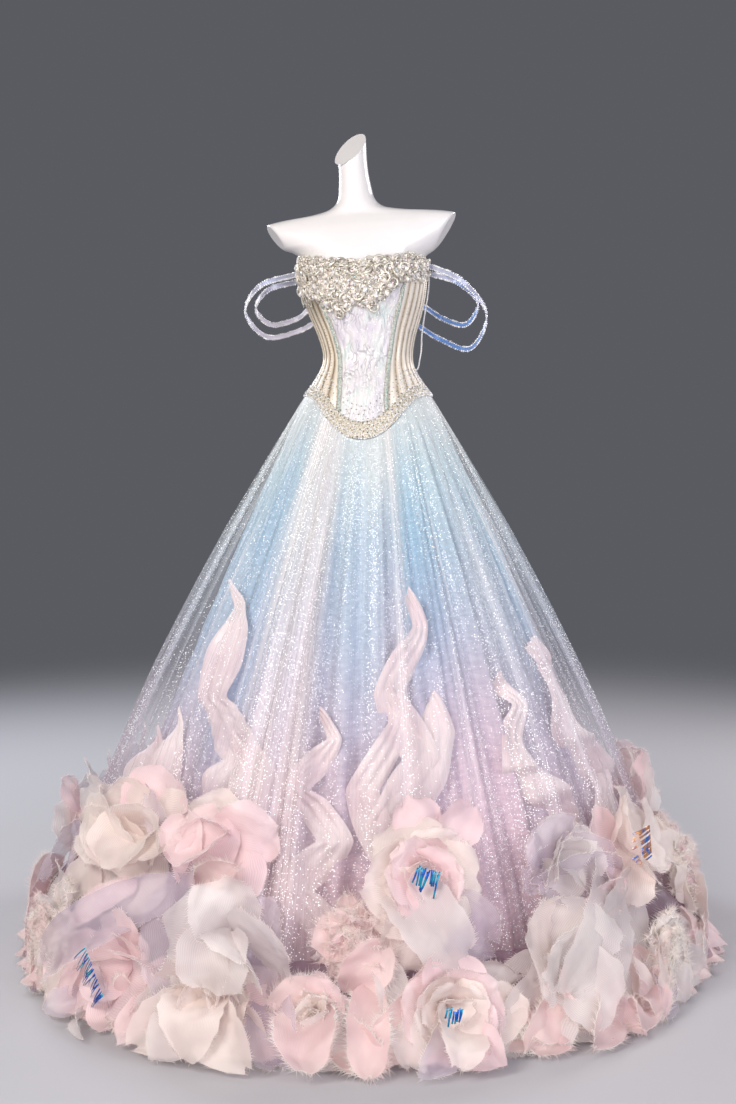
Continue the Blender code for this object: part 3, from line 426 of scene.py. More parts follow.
# %% Shape of the form
FORM_BELOW = np.array([
    (0.860, 0.1280, 0.0850, 0.0950, 0.0), (0.885, 0.1500, 0.1000, 0.1150, 0.0),
    (0.960, 0.1580, 0.1040, 0.1220, 0.0), (1.050, 0.1340, 0.0920, 0.1020, 0.0),
    (1.130, 0.1000, 0.0780, 0.0800, 0.0),
])
FORM_ABOVE = np.array([
    (1.440, 0.1640, 0.0860, 0.0850, -0.013), (1.460, 0.1920, 0.0760, 0.0810, -0.015),
    (1.478, 0.2120, 0.0650, 0.0740, -0.017), (1.492, 0.2130, 0.0540, 0.0640, -0.017),
    (1.502, 0.1780, 0.0460, 0.0570, -0.018), (1.509, 0.1100, 0.0430, 0.0530, -0.019),
    (1.518, 0.0640, 0.0420, 0.0500, -0.022), (1.535, 0.0410, 0.0400, 0.0460, -0.024),
    (1.565, 0.0335, 0.0370, 0.0420, -0.027), (1.605, 0.0300, 0.0340, 0.0380, -0.031),
    (1.650, 0.0310, 0.0340, 0.0370, -0.035), (1.720, 0.0310, 0.0340, 0.0370, -0.038),
])
# a point on each flat face and the way it faces
ARM_CUTS = [((-0.175, -0.020, 1.440), (-0.80, -0.24, -0.55)), ((0.155, -0.020, 1.462), (0.87, -0.06, -0.49))]
NECK_CUT = ((-0.036, 0.0, 1.641), (-0.40, -0.62, 0.675))
BODICE_WALL = 0.002


def form_ring(turns, z):
    """One level ring of the form."""
    foot = FORM_BELOW[-1, 0]
    if z <= foot:
        return ring(FORM_BELOW, turns, z)
    if z < FORM_ABOVE[0, 0]:
        up = min(max((z - WAIST_Z - 0.06) / (BUST_Z - WAIST_Z - 0.06), 0.0), 1.0)
        worn = ring(BODICE, turns, min(z, BODICE_TOP), -BODICE_WALL - mix(0.0040, 0.0022, up))
        worn[:, 2] = z
        if z > BODICE_TOP:
            share = (z - BODICE_TOP) / (FORM_ABOVE[0, 0] - BODICE_TOP)
            worn = mix(worn, ring(FORM_ABOVE, turns, FORM_ABOVE[0, 0]), share)
            worn[:, 2] = z
        if z >= WAIST_Z:
            return worn
        blended = mix(ring(FORM_BELOW, turns, foot), worn, (z - foot) / (WAIST_Z - foot))
        blended[:, 2] = z
        return blended
    points = ring(FORM_ABOVE, turns, z)
    share = min(max((z - 1.41) / 0.07, 0.0), 1.0)
    points[:, 2] += 0.055 * points[:, 0] * share * np.minimum(np.abs(points[:, 0]) / 0.05, 1.0)
    return points


def soft_limit(value, limit, softness):
    """The smaller of the two, with a rounded change from one to the other."""
    return limit - softness * np.logaddexp(0.0, (limit - value) / softness)


turns = np.linspace(0.0, math.tau, 120, endpoint=False)
heights = np.concatenate([
    np.linspace(0.860, 1.130, 16)[:-1],
    np.linspace(1.130, 1.440, 40)[:-1],
    np.linspace(1.440, 1.535, 48)[:-1],
    np.linspace(1.535, 1.715, 44),
])
rings = np.array([form_ring(turns, z) for z in heights])
for (point, facing), sign in zip(ARM_CUTS, (-1.0, 1.0)):
    high = rings[..., 2] > NECK_HIGH
    slope = facing[1] * (rings[..., 1] - point[1]) + facing[2] * (rings[..., 2] - point[2])
    limit = point[0] - slope / facing[0]
    moved = sign * soft_limit(sign * rings[..., 0], sign * limit, 0.0016)
    rings[..., 0] = np.where(high, moved, rings[..., 0])
point, facing = NECK_CUT
slope = facing[0] * (rings[..., 0] - point[0]) + facing[1] * (rings[..., 1] - point[1])
limit = point[2] - slope / facing[2]
rings[..., 2] = np.where(rings[..., 2] > 1.56, soft_limit(rings[..., 2], limit, 0.0012), rings[..., 2])
centre = rings[-1].mean(axis=0)
caps = []
for share in (0.86, 0.62, 0.36, 0.12):
    cap = mix(centre, rings[-1], share)
    slope = facing[0] * (cap[:, 0] - point[0]) + facing[1] * (cap[:, 1] - point[1])
    cap[:, 2] = point[2] - slope / facing[2]
    caps.append(cap - np.array([0.0, 0.0, 0.0002]))
grid = np.concatenate([rings, np.array(caps)])[::-1]
form_mesh = cloth_mesh("form_skin", grid, closed=True)
bm = bmesh.new()
bm.from_mesh(form_mesh)
bm.verts.ensure_lookup_table()
rims = [e for e in bm.edges if e.is_boundary]
bmesh.ops.holes_fill(bm, edges=rims, sides=0)
bmesh.ops.remove_doubles(bm, verts=bm.verts, dist=0.00012)
bmesh.ops.recalc_face_normals(bm, faces=bm.faces)
bm.to_mesh(form_mesh)
bm.free()
form_mesh.shade_smooth()
form_mesh.set_sharp_from_angle(angle=math.radians(60))

gloss_lacquer, tree, shader = new_finish(
    "white gloss lacquer on glass fibre", Roughness=0.24, Coat_Weight=0.35, Coat_Roughness=0.12
)
place = node(tree, "place")
# lacquer flows a little: soft lows about 60 mm apart, and the faintest orange peel of 2 mm
flow = node(tree, "noise", place, 16.0, 2.0)
peel = node(tree, "noise", place, 480.0, 1.0)
drive(tree, shader, Base_Color=node(tree, "mix", flow, dye("#F4F2F0"), dye("#EBE8E8")))
drive(tree, shader, Normal=node(tree, "bumps", peel, 0.05, 0.0004))
form = link_piece("form_skin", form_mesh, gloss_lacquer)
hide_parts("dress_form")
print("form:", len(form_mesh.polygons), "faces")

# %% [markdown]
# ## The stand
# A turned steel base, pole and flange carry the form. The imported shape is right, so it keeps its
# mesh and only gets a satin steel finish: metal with a little unevenness from turning.

# %% Satin steel
satin_steel, tree, shader = new_finish("satin turned steel", Metallic=1.0, Roughness=0.34)
# turning marks run round the axis, 1 mm apart, drawn 3 mm apart so that they show
marks = add(
    tree, "ShaderNodeTexWave", {"Vector": node(tree, "place"), "Scale": 52.0, "Distortion": 1.5},
    wave_type="RINGS", rings_direction="Z",
).outputs["Fac"]
tone = node(tree, "mix", marks, dye("#A5A7AC"), dye("#8D9096"))
drive(tree, shader, Base_Color=tone, Roughness=node(tree, "ramp", marks, 0.0, 1.0, 0.28, 0.42))
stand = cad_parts["stand"]
stand.data.materials.clear()
stand.data.materials.append(satin_steel)

# %% [markdown]
# ## Skirt layers
# Both layers are gathered into the basque line and spread to the hem. A real gather could be
# simulated, but a rule is calmer and stays where the imported layers are: each point slides from the
# basque line to the hem circle, and soft folds grow as it goes down. The folds are warped so that
# no two are alike. Large creases are then listed one by one: where each starts and ends, its width
# and its depth.

# %% The rule for a skirt layer
INNER = dict(hem_radius=0.600, hem_z=0.012, fullness=1.05, top_out=0.0, folds=36, depth=0.013, growth=0.050)
OVERLAY = dict(
    hem_radius=0.650, hem_z=0.0, fullness=1.27, top_out=0.0013, folds=48, depth=0.014, growth=0.060
)
OVERLAY_END = 0.865
# turn, spread, depth of the overlay's widest folds
LARGE_FOLDS = [
    (-16.0, 8.0, 0.02), (13.0, 5.0, 0.018), (44.0, 7.0, 0.016), (-54.0, 7.0, 0.014), (80.0, 8.0, 0.014),
    (118.0, 7.0, 0.018), (156.0, 8.0, 0.016), (196.0, 7.0, 0.018), (236.0, 8.0, 0.016), (272.0, 7.0, 0.014),
]
# top turn, foot turn, where down the skirt it starts and ends, width in degrees, depth in metres
# (a minus sign is a trough)
CREASES = [
    (-42, -34, 0.02, 0.95, 3.0, -0.016), (-30, -27, 0.05, 0.8, 2.2, 0.01), (-16, -12, 0.1, 1.0, 2.6, -0.015),
    (-9, -5, 0.3, 0.85, 1.8, 0.008), (2, 2, 0.03, 0.7, 2.0, -0.012), (11, 8, 0.08, 0.98, 1.7, 0.014),
    (17, 13, 0.05, 0.9, 1.9, -0.013), (26, 22, 0.12, 0.75, 2.4, 0.01), (31, 30, 0.04, 0.97, 2.1, -0.014),
    (44, 41, 0.2, 1.0, 2.8, 0.012), (52, 49, 0.06, 0.85, 2.3, -0.013), (66, 60, 0.1, 0.95, 3.2, 0.011),
    (-68, -58, 0.08, 1.0, 3.4, 0.012), (-84, -78, 0.05, 0.8, 2.8, -0.014), (84, 82, 0.03, 0.9, 2.6, -0.013),
    (98, 101, 0.15, 1.0, 3.0, 0.012), (121, 119, 0.05, 0.85, 2.2, -0.015), (133, 137, 0.2, 0.95, 2.7, 0.01),
    (146, 144, 0.04, 0.75, 2.0, -0.012), (163, 160, 0.1, 1.0, 2.9, -0.014), (171, 175, 0.25, 0.9, 2.1, 0.011),
    (186, 184, 0.05, 0.8, 2.4, -0.013), (202, 206, 0.12, 1.0, 3.1, 0.012), (217, 214, 0.04, 0.9, 2.3, -0.015),
    (229, 233, 0.18, 0.85, 2.6, 0.01), (243, 241, 0.06, 0.95, 2.0, -0.012), (257, 262, 0.1, 0.8, 3.0, 0.013),
]


def crease(deg, down):
    """How far the hand-placed creases push the cloth out at each point."""
    total = np.zeros(np.broadcast(deg, down).shape)
    for top_deg, foot_deg, start, end, width, depth in CREASES:
        length = np.clip((down - start) / (end - start), 0.0, 1.0)
        fade = np.sin(np.pi * length) ** 0.7 * np.minimum(down * 4, 1.0)
        total = total + depth * fade * bell(deg, mix(top_deg, foot_deg, down), width)
    return total


def skirt_point(layer, turn, down, creased=1.0):
    """Points on a skirt layer. down is 0 at the basque line and 1 at its hem."""
    turn, down = np.broadcast_arrays(np.asarray(turn, float), np.asarray(down, float))
    top = ring(BODICE, turn, basque_z(turn) - 0.0012, layer["top_out"])
    hem = outward(turn) * layer["hem_radius"]
    spread = (1.0 - (1.0 - down) ** layer["fullness"])[..., None]
    deg = np.degrees(turn)
    depth = np.minimum(layer["growth"] * down, layer["depth"])
    uneven = 0.72 + 0.28 * np.cos(np.radians(3 * deg + 40)) * np.cos(np.radians(5 * deg))
    warp = 0.9 * np.sin(5 * turn + 1.0) + 0.7 * np.sin(11 * turn + 2.0 + 2.5 * down) + 0.5 * np.sin(17 * turn)
    narrow = np.cos(layer["folds"] * turn + warp)
    fold = depth * uneven * (0.78 * narrow + 0.22 * np.cos(2 * layer["folds"] * turn - 2 * warp))
    if layer is OVERLAY:
        large = sum(d * bell(deg, t, s) for t, s, d in LARGE_FOLDS)
        fold = fold + large * np.minimum(2 * down, 1.0)
    fold = fold + creased * crease(deg, down)
    point = mix(top, hem, spread) + outward(turn) * fold[..., None]
    point[..., 2] = mix(top[..., 2], layer["hem_z"], down)
    return point


def shade_at(colours, at):
    """A colour between the stops of a list of (place, hex)."""
    keys = [k for k, _ in colours]
    table = np.array([dye(c)[:3] for _, c in colours])
    return np.stack([np.interp(at, keys, table[:, i]) for i in range(3)], -1)


# %% [markdown]
# ### Inner skirt
# The inner layer is crinkled glitter fabric, dyed from aqua at the waist through blue and lilac to
# a dusty pink at the hem. The dye could be an image, but it is cheaper and sharper as one colour for
# each point of the mesh, blended from a few stops down the skirt and a handful of patches. Two of the
# patches are painted light and shade rather than dye: a pale one lifts the shade of the overlay's
# folds, and a dark mauve one is painted shade in a gap between the flowers.

# %% Dye and glitter finish
SKIRT_DYE = [
    (0.00, "#B08E9C"), (0.20, "#CFAFBA"), (0.38, "#CDBBC9"), (0.52, "#BFBDD0"), (0.66, "#A9BFD4"),
    (0.82, "#A3C4D6"), (0.98, "#B4D0D8"), (1.12, "#D3DEDF"),
]
# turn, height, spread of each, colour, strength
DYE_AND_PAINTED_LIGHT_PATCHES = [
    (-44, 0.86, 12, 0.2, "#8FBAD8", 0.7), (-36, 0.58, 8, 0.16, "#93B3D6", 0.7),
    (3, 0.76, 6, 0.22, "#CAD8E6", 0.7), (24, 0.86, 9, 0.16, "#8DC0DA", 0.65),
    (26, 0.66, 9, 0.14, "#9ABCDA", 0.65), (-18, 0.95, 9, 0.25, "#EAE4E0", 0.85),
    (-15, 0.55, 8, 0.3, "#D6C9D1", 0.7), (-10, 0.25, 10, 0.22, "#D4BCC5", 0.6),
    (10, 1.0, 12, 0.1, "#E4EAE6", 0.75), (13, 0.58, 4, 0.3, "#D6CAD6", 0.7),
    (24, 0.42, 10, 0.2, "#C9BBD3", 0.55), (46, 0.44, 16, 0.26, "#C0B2C0", 0.75),
    (58, 0.74, 12, 0.2, "#CDD1D8", 0.65), (100, 0.78, 14, 0.18, "#95BDD8", 0.6),
    (135, 0.92, 10, 0.22, "#EAE4E2", 0.7), (165, 0.72, 12, 0.2, "#97B8D8", 0.65),
    (150, 0.4, 12, 0.24, "#D0C0CA", 0.65), (200, 0.85, 12, 0.18, "#97C2D6", 0.6),
    (222, 0.9, 9, 0.25, "#E8E2E2", 0.7), (226, 0.45, 12, 0.24, "#D2C0CA", 0.65),
    # the second patch below, at turn 33, is painted light that lifts the shade of the overlay's folds
    (250, 0.7, 12, 0.2, "#93B6D8", 0.6), (33, 0.31, 12, 0.24, "#EBCBD5", 0.85),
    # the second patch below, at turn -30 near the hem, is painted shade in a gap between the flowers
    (285, 0.75, 12, 0.2, "#9CBCDA", 0.55), (-30, 0.14, 8, 0.1, "#8A6474", 0.6),
]


def skirt_colour(deg, z):
    colour = shade_at(SKIRT_DYE, z)
    for turn_deg, height, spread_deg, spread_z, patch, strength in DYE_AND_PAINTED_LIGHT_PATCHES:
        share = strength * bell(deg, turn_deg, spread_deg) * np.exp(-(((z - height) / spread_z) ** 2))
        colour = mix(colour, np.array(dye(patch)[:3]), share[..., None])
    return colour


def glitter_mask(tree, grain, share):
    """1 in flecks of about grain metres, over a share of the cells."""
    chance, distance = cells(tree, node(tree, "place"), 1.0 / grain)
    picked = node(tree, "LESS_THAN", chance, share)
    return node(tree, "MULTIPLY", node(tree, "ramp", distance, 0.42, 0.30), picked)


def glitter(tree, shader, ground, flecks, glow):
    """White flecks over the ground colour, as painted glints: they glow a little, as they catch light from
    all sides.
    """
    tone = node(tree, "mix", flecks, ground, dye("#FFFFFF"))
    drive(tree, shader, Base_Color=tone, Emission_Strength=node(tree, "MULTIPLY", flecks, glow))


glitter_cloth, tree, shader = new_finish(
    "crinkled glitter organza", Roughness=0.45, Sheen_Weight=0.25, Sheen_Roughness=0.4,
    Emission_Color=dye("#F3F6FF"),
)
flat = node(tree, "cloth")
# crinkles run across the cloth, about 8 mm apart down it and 28 mm long
crinkle = node(tree, "noise", node(tree, "stretch", flat, (36.0, 130.0, 1.0)), 1.0, 4.0)
# painted shade: the dye darkens in the low parts of the crinkles
dip = node(tree, "ramp", crinkle, 0.35, 0.65, 0.0, 0.30)
shadowed = node(
    tree, "mix", dip, node(tree, "stored colour", attribute_name="dye"), dye("#A8A2BE"), blend_type="MULTIPLY"
)
# streaks of denser glitter run down the gathers
streak = node(tree, "noise", node(tree, "stretch", flat, (24.0, 2.2, 1.0)), 1.0)
# real flecks are 0.4 mm; they are drawn 2.6 mm wide, so that they show
FLECK = 0.0026
flecks = glitter_mask(tree, FLECK, node(tree, "ramp", streak, 0.44, 0.70, 0.05, 0.60))
glitter(tree, shader, shadowed, flecks, 0.45)
drive(tree, shader, Roughness=node(tree, "ramp", flecks, 0.0, 1.0, 0.5, 0.15))
drive(tree, shader, Normal=node(tree, "bumps", crinkle, 0.5, 0.003))

# %% Inner skirt shape
INNER_COLUMNS, INNER_ROWS = 720, 90
turns = np.linspace(-math.pi, math.pi, INNER_COLUMNS, endpoint=False)[None, :]
downs = (np.linspace(0.0, 1.0, INNER_ROWS) ** 1.1)[:, None]
grid = skirt_point(INNER, turns, downs, creased=0.5)
# small crinkles that a light catches: about 25 mm apart, 1.5 mm deep
ripple = 0.0012 * np.sin(62 * downs + 3 * np.sin(9 * turns)) * np.sin(57 * turns + 8 * downs)
grid += outward(turns) * (ripple * np.minimum(downs * 5, 1.0))[..., None]
INNER_FLAT = (4.20, 1.21)
skirt_mesh = cloth_mesh("inner_skirt", grid, closed=True, size=INNER_FLAT)
paint(skirt_mesh, "dye", skirt_colour(np.degrees(turns) + 0 * downs, grid[..., 2]))
inner_skirt = link_piece("inner_skirt", skirt_mesh, glitter_cloth)
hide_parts("skirt_front", "skirt_back", "skirt_side_left", "skirt_side_right")


def area_of(mesh):
    return sum(p.area for p in mesh.polygons)


print("inner skirt:", len(skirt_mesh.polygons), "faces,", round(area_of(skirt_mesh), 2), "m2")

# %% [markdown]
# ### Sheer overlay
# The overlay is soft tulle, so fine that its threads vanish and only a veil is left. Where it
# gathers, the veil is denser. Its see-through is one number for each point, denser along the large
# folds and the two pale drapes in front, with fine vertical streaks added in the finish.

# %% Tulle finish
veil_cloth, tree, shader = new_finish(
    "soft glitter tulle", Roughness=0.5, Sheen_Weight=0.3, Sheen_Roughness=0.35, Emission_Color=dye("#FFFFFF")
)
flat = node(tree, "cloth")
veil = node(tree, "stored number", attribute_name="veil")
# gathered tulle doubles on itself in lines 4 to 15 mm apart
lines = node(tree, "noise", node(tree, "stretch", flat, (85.0, 1.2, 1.0)), 1.0, 5.0, 0.65)
gather = node(tree, "ramp", lines, 0.30, 0.75, 0.45, 1.65)
streak = node(tree, "noise", node(tree, "stretch", flat, (20.0, 1.6, 1.0)), 1.0)
dense = node(
    tree, "ADD", node(tree, "ramp", streak, 0.48, 0.72, 0.01, 0.34),
    node(tree, "ramp", veil, 0.25, 0.60, 0.0, 0.22),
)
flecks = glitter_mask(tree, 0.0024, dense)
glitter(tree, shader, node(tree, "stored colour", attribute_name="dye"), flecks, 0.8)
see = node(tree, "MULTIPLY", veil, gather)
drive(tree, shader, Alpha=node(tree, "MAXIMUM", see, node(tree, "MULTIPLY", flecks, 0.9)))

# %% Overlay shape
# turn at the top and at the foot, width in degrees, heights where it fades in and out, veil added
PALE_DRAPES = [
    (-26, -11, 6.5, 1.3, 0.02, 0.46), (-16, -5, 3.0, 0.95, 0.02, 0.3), (17, 12, 1.8, 1.2, 0.25, 0.46),
    (34, 24, 2.0, 0.95, 0.2, 0.2), (50, 40, 3.0, 0.9, 0.1, 0.15), (-48, -36, 2.5, 0.9, 0.2, 0.15),
    (64, 58, 3.0, 1.0, 0.15, 0.26), (120, 128, 6.0, 1.25, 0.05, 0.42), (150, 146, 3.0, 0.9, 0.2, 0.22),
    (176, 182, 4.0, 1.0, 0.2, 0.3), (208, 214, 6.0, 1.25, 0.05, 0.42), (240, 236, 3.0, 0.9, 0.2, 0.22),
    (268, 272, 3.0, 0.9, 0.2, 0.22),
]
OVERLAY_DYE = [(0.10, "#D8C3CB"), (0.40, "#D3CBD6"), (0.70, "#D6DBE3"), (0.95, "#E2E8EA"), (1.12, "#EEF0EC")]


def drape_at(deg, z):
    """How much veil the pale drapes add at each point."""
    more_veil = np.zeros(np.broadcast(deg, z).shape)
    for top_deg, foot_deg, width, start, end, more in PALE_DRAPES:
        share = np.clip((1.12 - z) / 1.12, 0.0, 1.0)
        inside = np.clip((start - z) / 0.10, 0.0, 1.0) * np.clip((z - end) / 0.20, 0.0, 1.0)
        more_veil = more_veil + more * inside * bell(deg, mix(top_deg, foot_deg, share), width)
    return more_veil


def veil_at(deg, z):
    """How much the overlay hides, from 0 to 1."""
    return np.clip(0.17 + 0.25 * np.clip((z - 0.96) / 0.16, 0.0, 1.0) + drape_at(deg, z), 0.0, 0.85)


def veil_colour(deg, z):
    """Pale blue-white above and pinkish below, warmer along the drapes."""
    warm = np.clip(2.2 * drape_at(deg, z), 0.0, 0.9)[..., None]
    drape = shade_at([(0.2, "#DCC8CE"), (0.6, "#E2D8DC"), (0.85, "#F1ECEA")], z)
    return mix(shade_at(OVERLAY_DYE, z), drape, warm)


OVER_COLUMNS, OVER_ROWS = 960, 84
turns = np.linspace(-math.pi, math.pi, OVER_COLUMNS, endpoint=False)[None, :]
downs = (OVERLAY_END * np.linspace(0.0, 1.0, OVER_ROWS) ** 1.1)[:, None]
grid = skirt_point(OVERLAY, turns, downs)
OVERLAY_FLAT = (4.60, 1.09)
overlay_mesh = cloth_mesh("tulle_overlay", grid, closed=True, size=OVERLAY_FLAT)
deg = np.degrees(turns) + 0 * downs
paint(overlay_mesh, "veil", veil_at(deg, grid[..., 2]))
paint(overlay_mesh, "dye", veil_colour(deg, grid[..., 2]))
overlay = link_piece("tulle_overlay", overlay_mesh, veil_cloth)
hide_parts("overlay_front", "overlay_back", "overlay_side_left", "overlay_side_right")
print("overlay:", len(overlay_mesh.polygons), "faces,", round(area_of(overlay_mesh), 2), "m2")

# %% [markdown]
# ## Organza
# Strips, petals and ruffles are all silk organza: crisp, half see-through, cream to dusty pink, with
# a soft sheen. One petal could be drawn as a curve and filled, but a small grid of points bent along
# its length and cupped across it gives every petal its own curl. Raw edges fray into fine threads.

# %% Organza finish


# threads are 0.1 mm apart; they are drawn this far apart, so that they show
WEAVE = 0.0022


def organza(name, light, shade, alpha, root_tone="#DDBEC8"):
    """Silk organza in a light and a shade tone, mixed in soft clouds as painted shade, with crossing threads.
    """
    material, tree, shader = new_finish(
        name, Roughness=0.55, Sheen_Weight=0.35, Sheen_Roughness=0.3, Emission_Strength=0.06
    )
    place = node(tree, "place")
    flat = node(tree, "cloth")
    clouds = node(tree, "noise", place, 9.0, 3.0)
    tone = node(tree, "mix", node(tree, "ramp", clouds, 0.36, 0.66), dye(light), dye(shade))
    # petals are deeper in colour towards their root, where layers lie on each other, and this deeper tone is
    # also painted shade in the heart of the flower
    root = add(tree, "ShaderNodeSeparateXYZ", {"Vector": flat}).outputs["Y"]
    tone = node(tree, "mix", node(tree, "ramp", root, 0.06, 0.1, 0.0, 0.35), tone, dye(root_tone))
    weave = add(
        tree, "ShaderNodeTexWave", {"Vector": flat, "Scale": 0.3 / WEAVE, "Distortion": 2.0}
    ).outputs["Fac"]
    sheer = node(tree, "ramp", weave, 0.0, 1.0, alpha - 0.06, alpha + 0.03)
    # one layer at the rim of a petal, several at its root
    layers = node(tree, "ramp", root, 0.0, 0.045, 0.72, 1.0)
    # painted light: the tone glows a little, standing in for light that comes through the layers from behind,
    # so their shadows stay pale
    drive(tree, shader, Base_Color=tone, Emission_Color=tone, Alpha=node(tree, "MULTIPLY", sheer, layers))
    drive(tree, shader, Normal=node(tree, "bumps", node(tree, "noise", place, 38.0, 3.0), 0.18, 0.004))
    return material


ORGANZAS = {
    "cream": organza("cream silk organza", "#F2E5DE", "#E2D2CD", 0.80, "#CFB6B5"),
    "pink": organza("pink silk organza", "#F3DBDC", "#E6C9CC", 0.82, "#CBA5AC"),
    "white": organza("white silk organza", "#E8E0DD", "#D4C9C9", 0.66, "#B3A7AB"),
    "lilac": organza("lilac silk organza", "#D9CDD8", "#C2B4C3", 0.50, "#A898A8"),
    "frayed": organza("frayed rose organza", "#EED6D2", "#DCBCBC", 0.84, "#B98D92"),
}
# painted light: the threads glow a little, so the frayed edges read as a light fuzz
silk_thread, tree, shader = new_finish("loose silk threads", Roughness=0.6, Alpha=0.7, Emission_Strength=0.16)
# the threads are dyed unevenly, 80 mm from one tone to the next
tone = node(
    tree, "mix", node(tree, "ramp", node(tree, "noise", node(tree, "place"), 12.0), 0.4, 0.6), dye("#F2EAE4"),
    dye("#EBD6D3"),
)
drive(tree, shader, Base_Color=tone, Emission_Color=tone)
mauve_organza = organza("mauve silk organza", "#A88E9B", "#8B7081", 0.62, "#7B5E6E")
strip_organza = organza("pale strip organza", "#F4E6E4", "#E5CFD2", 0.94)

# %% A petal, and frayed threads along an edge


def crisp(angle):
    """A wave with sharp turns, as stiff cloth folds."""
    return np.arcsin(0.985 * np.sin(angle)) / 1.40


def petal_grid(length, width, rise_deg, curl_deg, cup, wave, waves, phase, point=0.0, rows=11, columns=13):
    """Points of a petal with its root at the origin, lying along +X and rising towards +Z."""
    t = np.linspace(0.0, 1.0, rows)
    angle = np.radians(rise_deg - curl_deg * t**2)
    steps = np.concatenate([[0.0], np.diff(t)])
    x, z = np.cumsum(np.cos(angle) * steps) * length, np.cumsum(np.sin(angle) * steps) * length
    widest = 0.60 - 0.12 * max(point, 0.0)
    rounded = np.where(
        t < widest,
        np.sqrt(np.clip(1 - ((t - widest) / (widest * 1.03)) ** 2, 0, 1)),
        np.clip(1 - ((t - widest) / (1.03 - widest)) ** 2, 0, 1) ** mix(0.5, 1.0, max(point, 0.0)),
    )
    # a point below 0 squares the petal off, like a torn length of cloth
    half = np.maximum(width / 2 * rounded ** mix(1.0, 0.4, min(max(-point, 0.0), 1.0)), 0.004)
    s = np.linspace(-1.0, 1.0, columns)[None, :]
    tt = t[:, None]
    lift = cup * half[:, None] * s**2 * (1 - 0.35 * tt)
    ripple = wave * (tt**1.6) * (
        crisp(waves * math.pi * s + phase) * (0.35 + 0.65 * np.abs(s))
        + 0.5 * np.sin(2.3 * waves * s + 1.7 * phase)
    )
    normal_x, normal_z = -np.sin(angle)[:, None], np.cos(angle)[:, None]
    scallop = 1.0 + 0.05 * np.sin(3.0 * s + phase) * tt**3
    up = lift + ripple
    return np.stack(
        [x[:, None] * scallop + normal_x * up, half[:, None] * s + 0 * tt, z[:, None] + normal_z * up], -1
    )


def turned(grid, matrix, place=(0.0, 0.0, 0.0)):
    """Points after a 3x3 rotation and a move."""
    return grid @ np.array(matrix).T + np.array(place)


def edge_paths(grid):
    """The outer edge of a petal from one side of its root round the tip to the other, and its way out."""
    path = np.concatenate([grid[2:, 0], grid[-1, 1:-1], grid[:1:-1, -1]])
    inner = np.concatenate([grid[2:, 2], grid[-3, 1:-1], grid[:1:-1, -3]])
    way = path - inner
    return path, way / np.maximum(np.linalg.norm(way, axis=1, keepdims=True), 1e-6)


tree, given = new_tree("frayed edge", Spacing=0.002, Thread=0.007, Seed=1, Finish=None)
points = add(tree, "GeometryNodeCurveToPoints", {"Curve": even_curve(tree, given)}, mode="EVALUATED")
blade = add(
    tree, "GeometryNodeMeshCone",
    {"Vertices": 3, "Radius Top": 0.0, "Radius Bottom": 0.0006, "Depth": given["Thread"]}, fill_type="NONE",
)
way = add(tree, "GeometryNodeInputNamedAttribute", {"Name": "way"}, data_type="FLOAT_VECTOR")
loose = node(tree, "random vector", (-0.55, -0.55, -0.55), (0.55, 0.55, 0.55), given["Seed"])
lean = add(tree, "ShaderNodeVectorMath", {0: way.outputs[0], 1: loose}, operation="ADD")
spin = add(tree, "FunctionNodeAlignRotationToVector", {"Vector": lean.outputs[0]}, axis="Z")
length = node(tree, "random number", 0.35, 1.25, given["Seed"])
size = add(tree, "ShaderNodeCombineXYZ", {0: 1.0, 1: 1.0, 2: length})
threads = add(tree, "GeometryNodeInstanceOnPoints", {
    "Points": points.outputs[0], "Instance": blade.outputs[0],
    "Rotation": spin.outputs[0], "Scale": size.outputs[0],
})
frayed_edge = finish_tree(tree, given, threads.outputs[0])

# how far apart the threads stand and how long they are, on torn edges and on cut ones
RAGGED = {"spacing": 0.0016, "thread": 0.018}
NEAT = {"spacing": 0.0042, "thread": 0.009}
# half the thickness of a thread that lies on the floor
FLOOR_CLEAR = 0.0008


def fray(name, paths, ways, spacing, thread, seed):
    """Fine threads that stand out from edges on their way, as one piece. None goes below the floor."""
    mesh = lines_mesh(name, paths)
    mesh.attributes.new("way", "FLOAT_VECTOR", "POINT").data.foreach_set(
        "vector", np.concatenate(ways).ravel()
    )
    piece = grow(name, frayed_edge, mesh, spacing=spacing, thread=thread, seed=seed, finish=silk_thread)
    for vertex in piece.data.vertices:
        vertex.co.z = max(vertex.co.z, FLOOR_CLEAR)
    return piece


# %% [markdown]
# ### Strips between the layers
# Narrow folded strips of organza snake down between the layers. Each follows its packed strip: the
# same route and width, with the zigzag turned into real folds, where the strip twists over and its
# edges stand up.

# %% Strips
# top turn, foot turn, top z, foot z, width, swings, swing in degrees
STRIPS = [
    (-50.0, -20.0, 0.75, 0.33, 0.07, 1.6, 4.0), (-7.0, -3.0, 0.53, 0.13, 0.06, 2.4, 3.2),
    (18.0, 12.0, 0.745, 0.345, 0.056, 1.7, 3.4), (43.0, 52.0, 0.59, 0.29, 0.06, 1.4, 3.5),
    (66.0, 80.0, 0.64, 0.29, 0.07, 1.5, 3.5), (150.0, 168.0, 0.68, 0.25, 0.07, 1.8, 4.0),
    (-128.0, -108.0, 0.7, 0.24, 0.07, 1.8, 4.0),
]
# short lengths that lie beside them
SHORT_STRIPS = [
    (10.5, 6.0, 0.575, 0.27, 0.052, 1.3, 2.6), (22.5, 15.0, 0.56, 0.35, 0.08, 0.8, 2.0),
    (-55.0, -46.0, 0.5, 0.34, 0.045, 0.8, 1.5), (-66.0, -60.0, 0.45, 0.32, 0.07, 0.8, 1.5),
    (-29.0, -28.0, 0.48, 0.37, 0.06, 0.7, 2.0), (80.0, 73.0, 0.42, 0.22, 0.07, 0.8, 2.0),
]


def inner_down(z, turn):
    top = basque_z(turn)
    return (top - z) / (top - INNER["hem_z"])


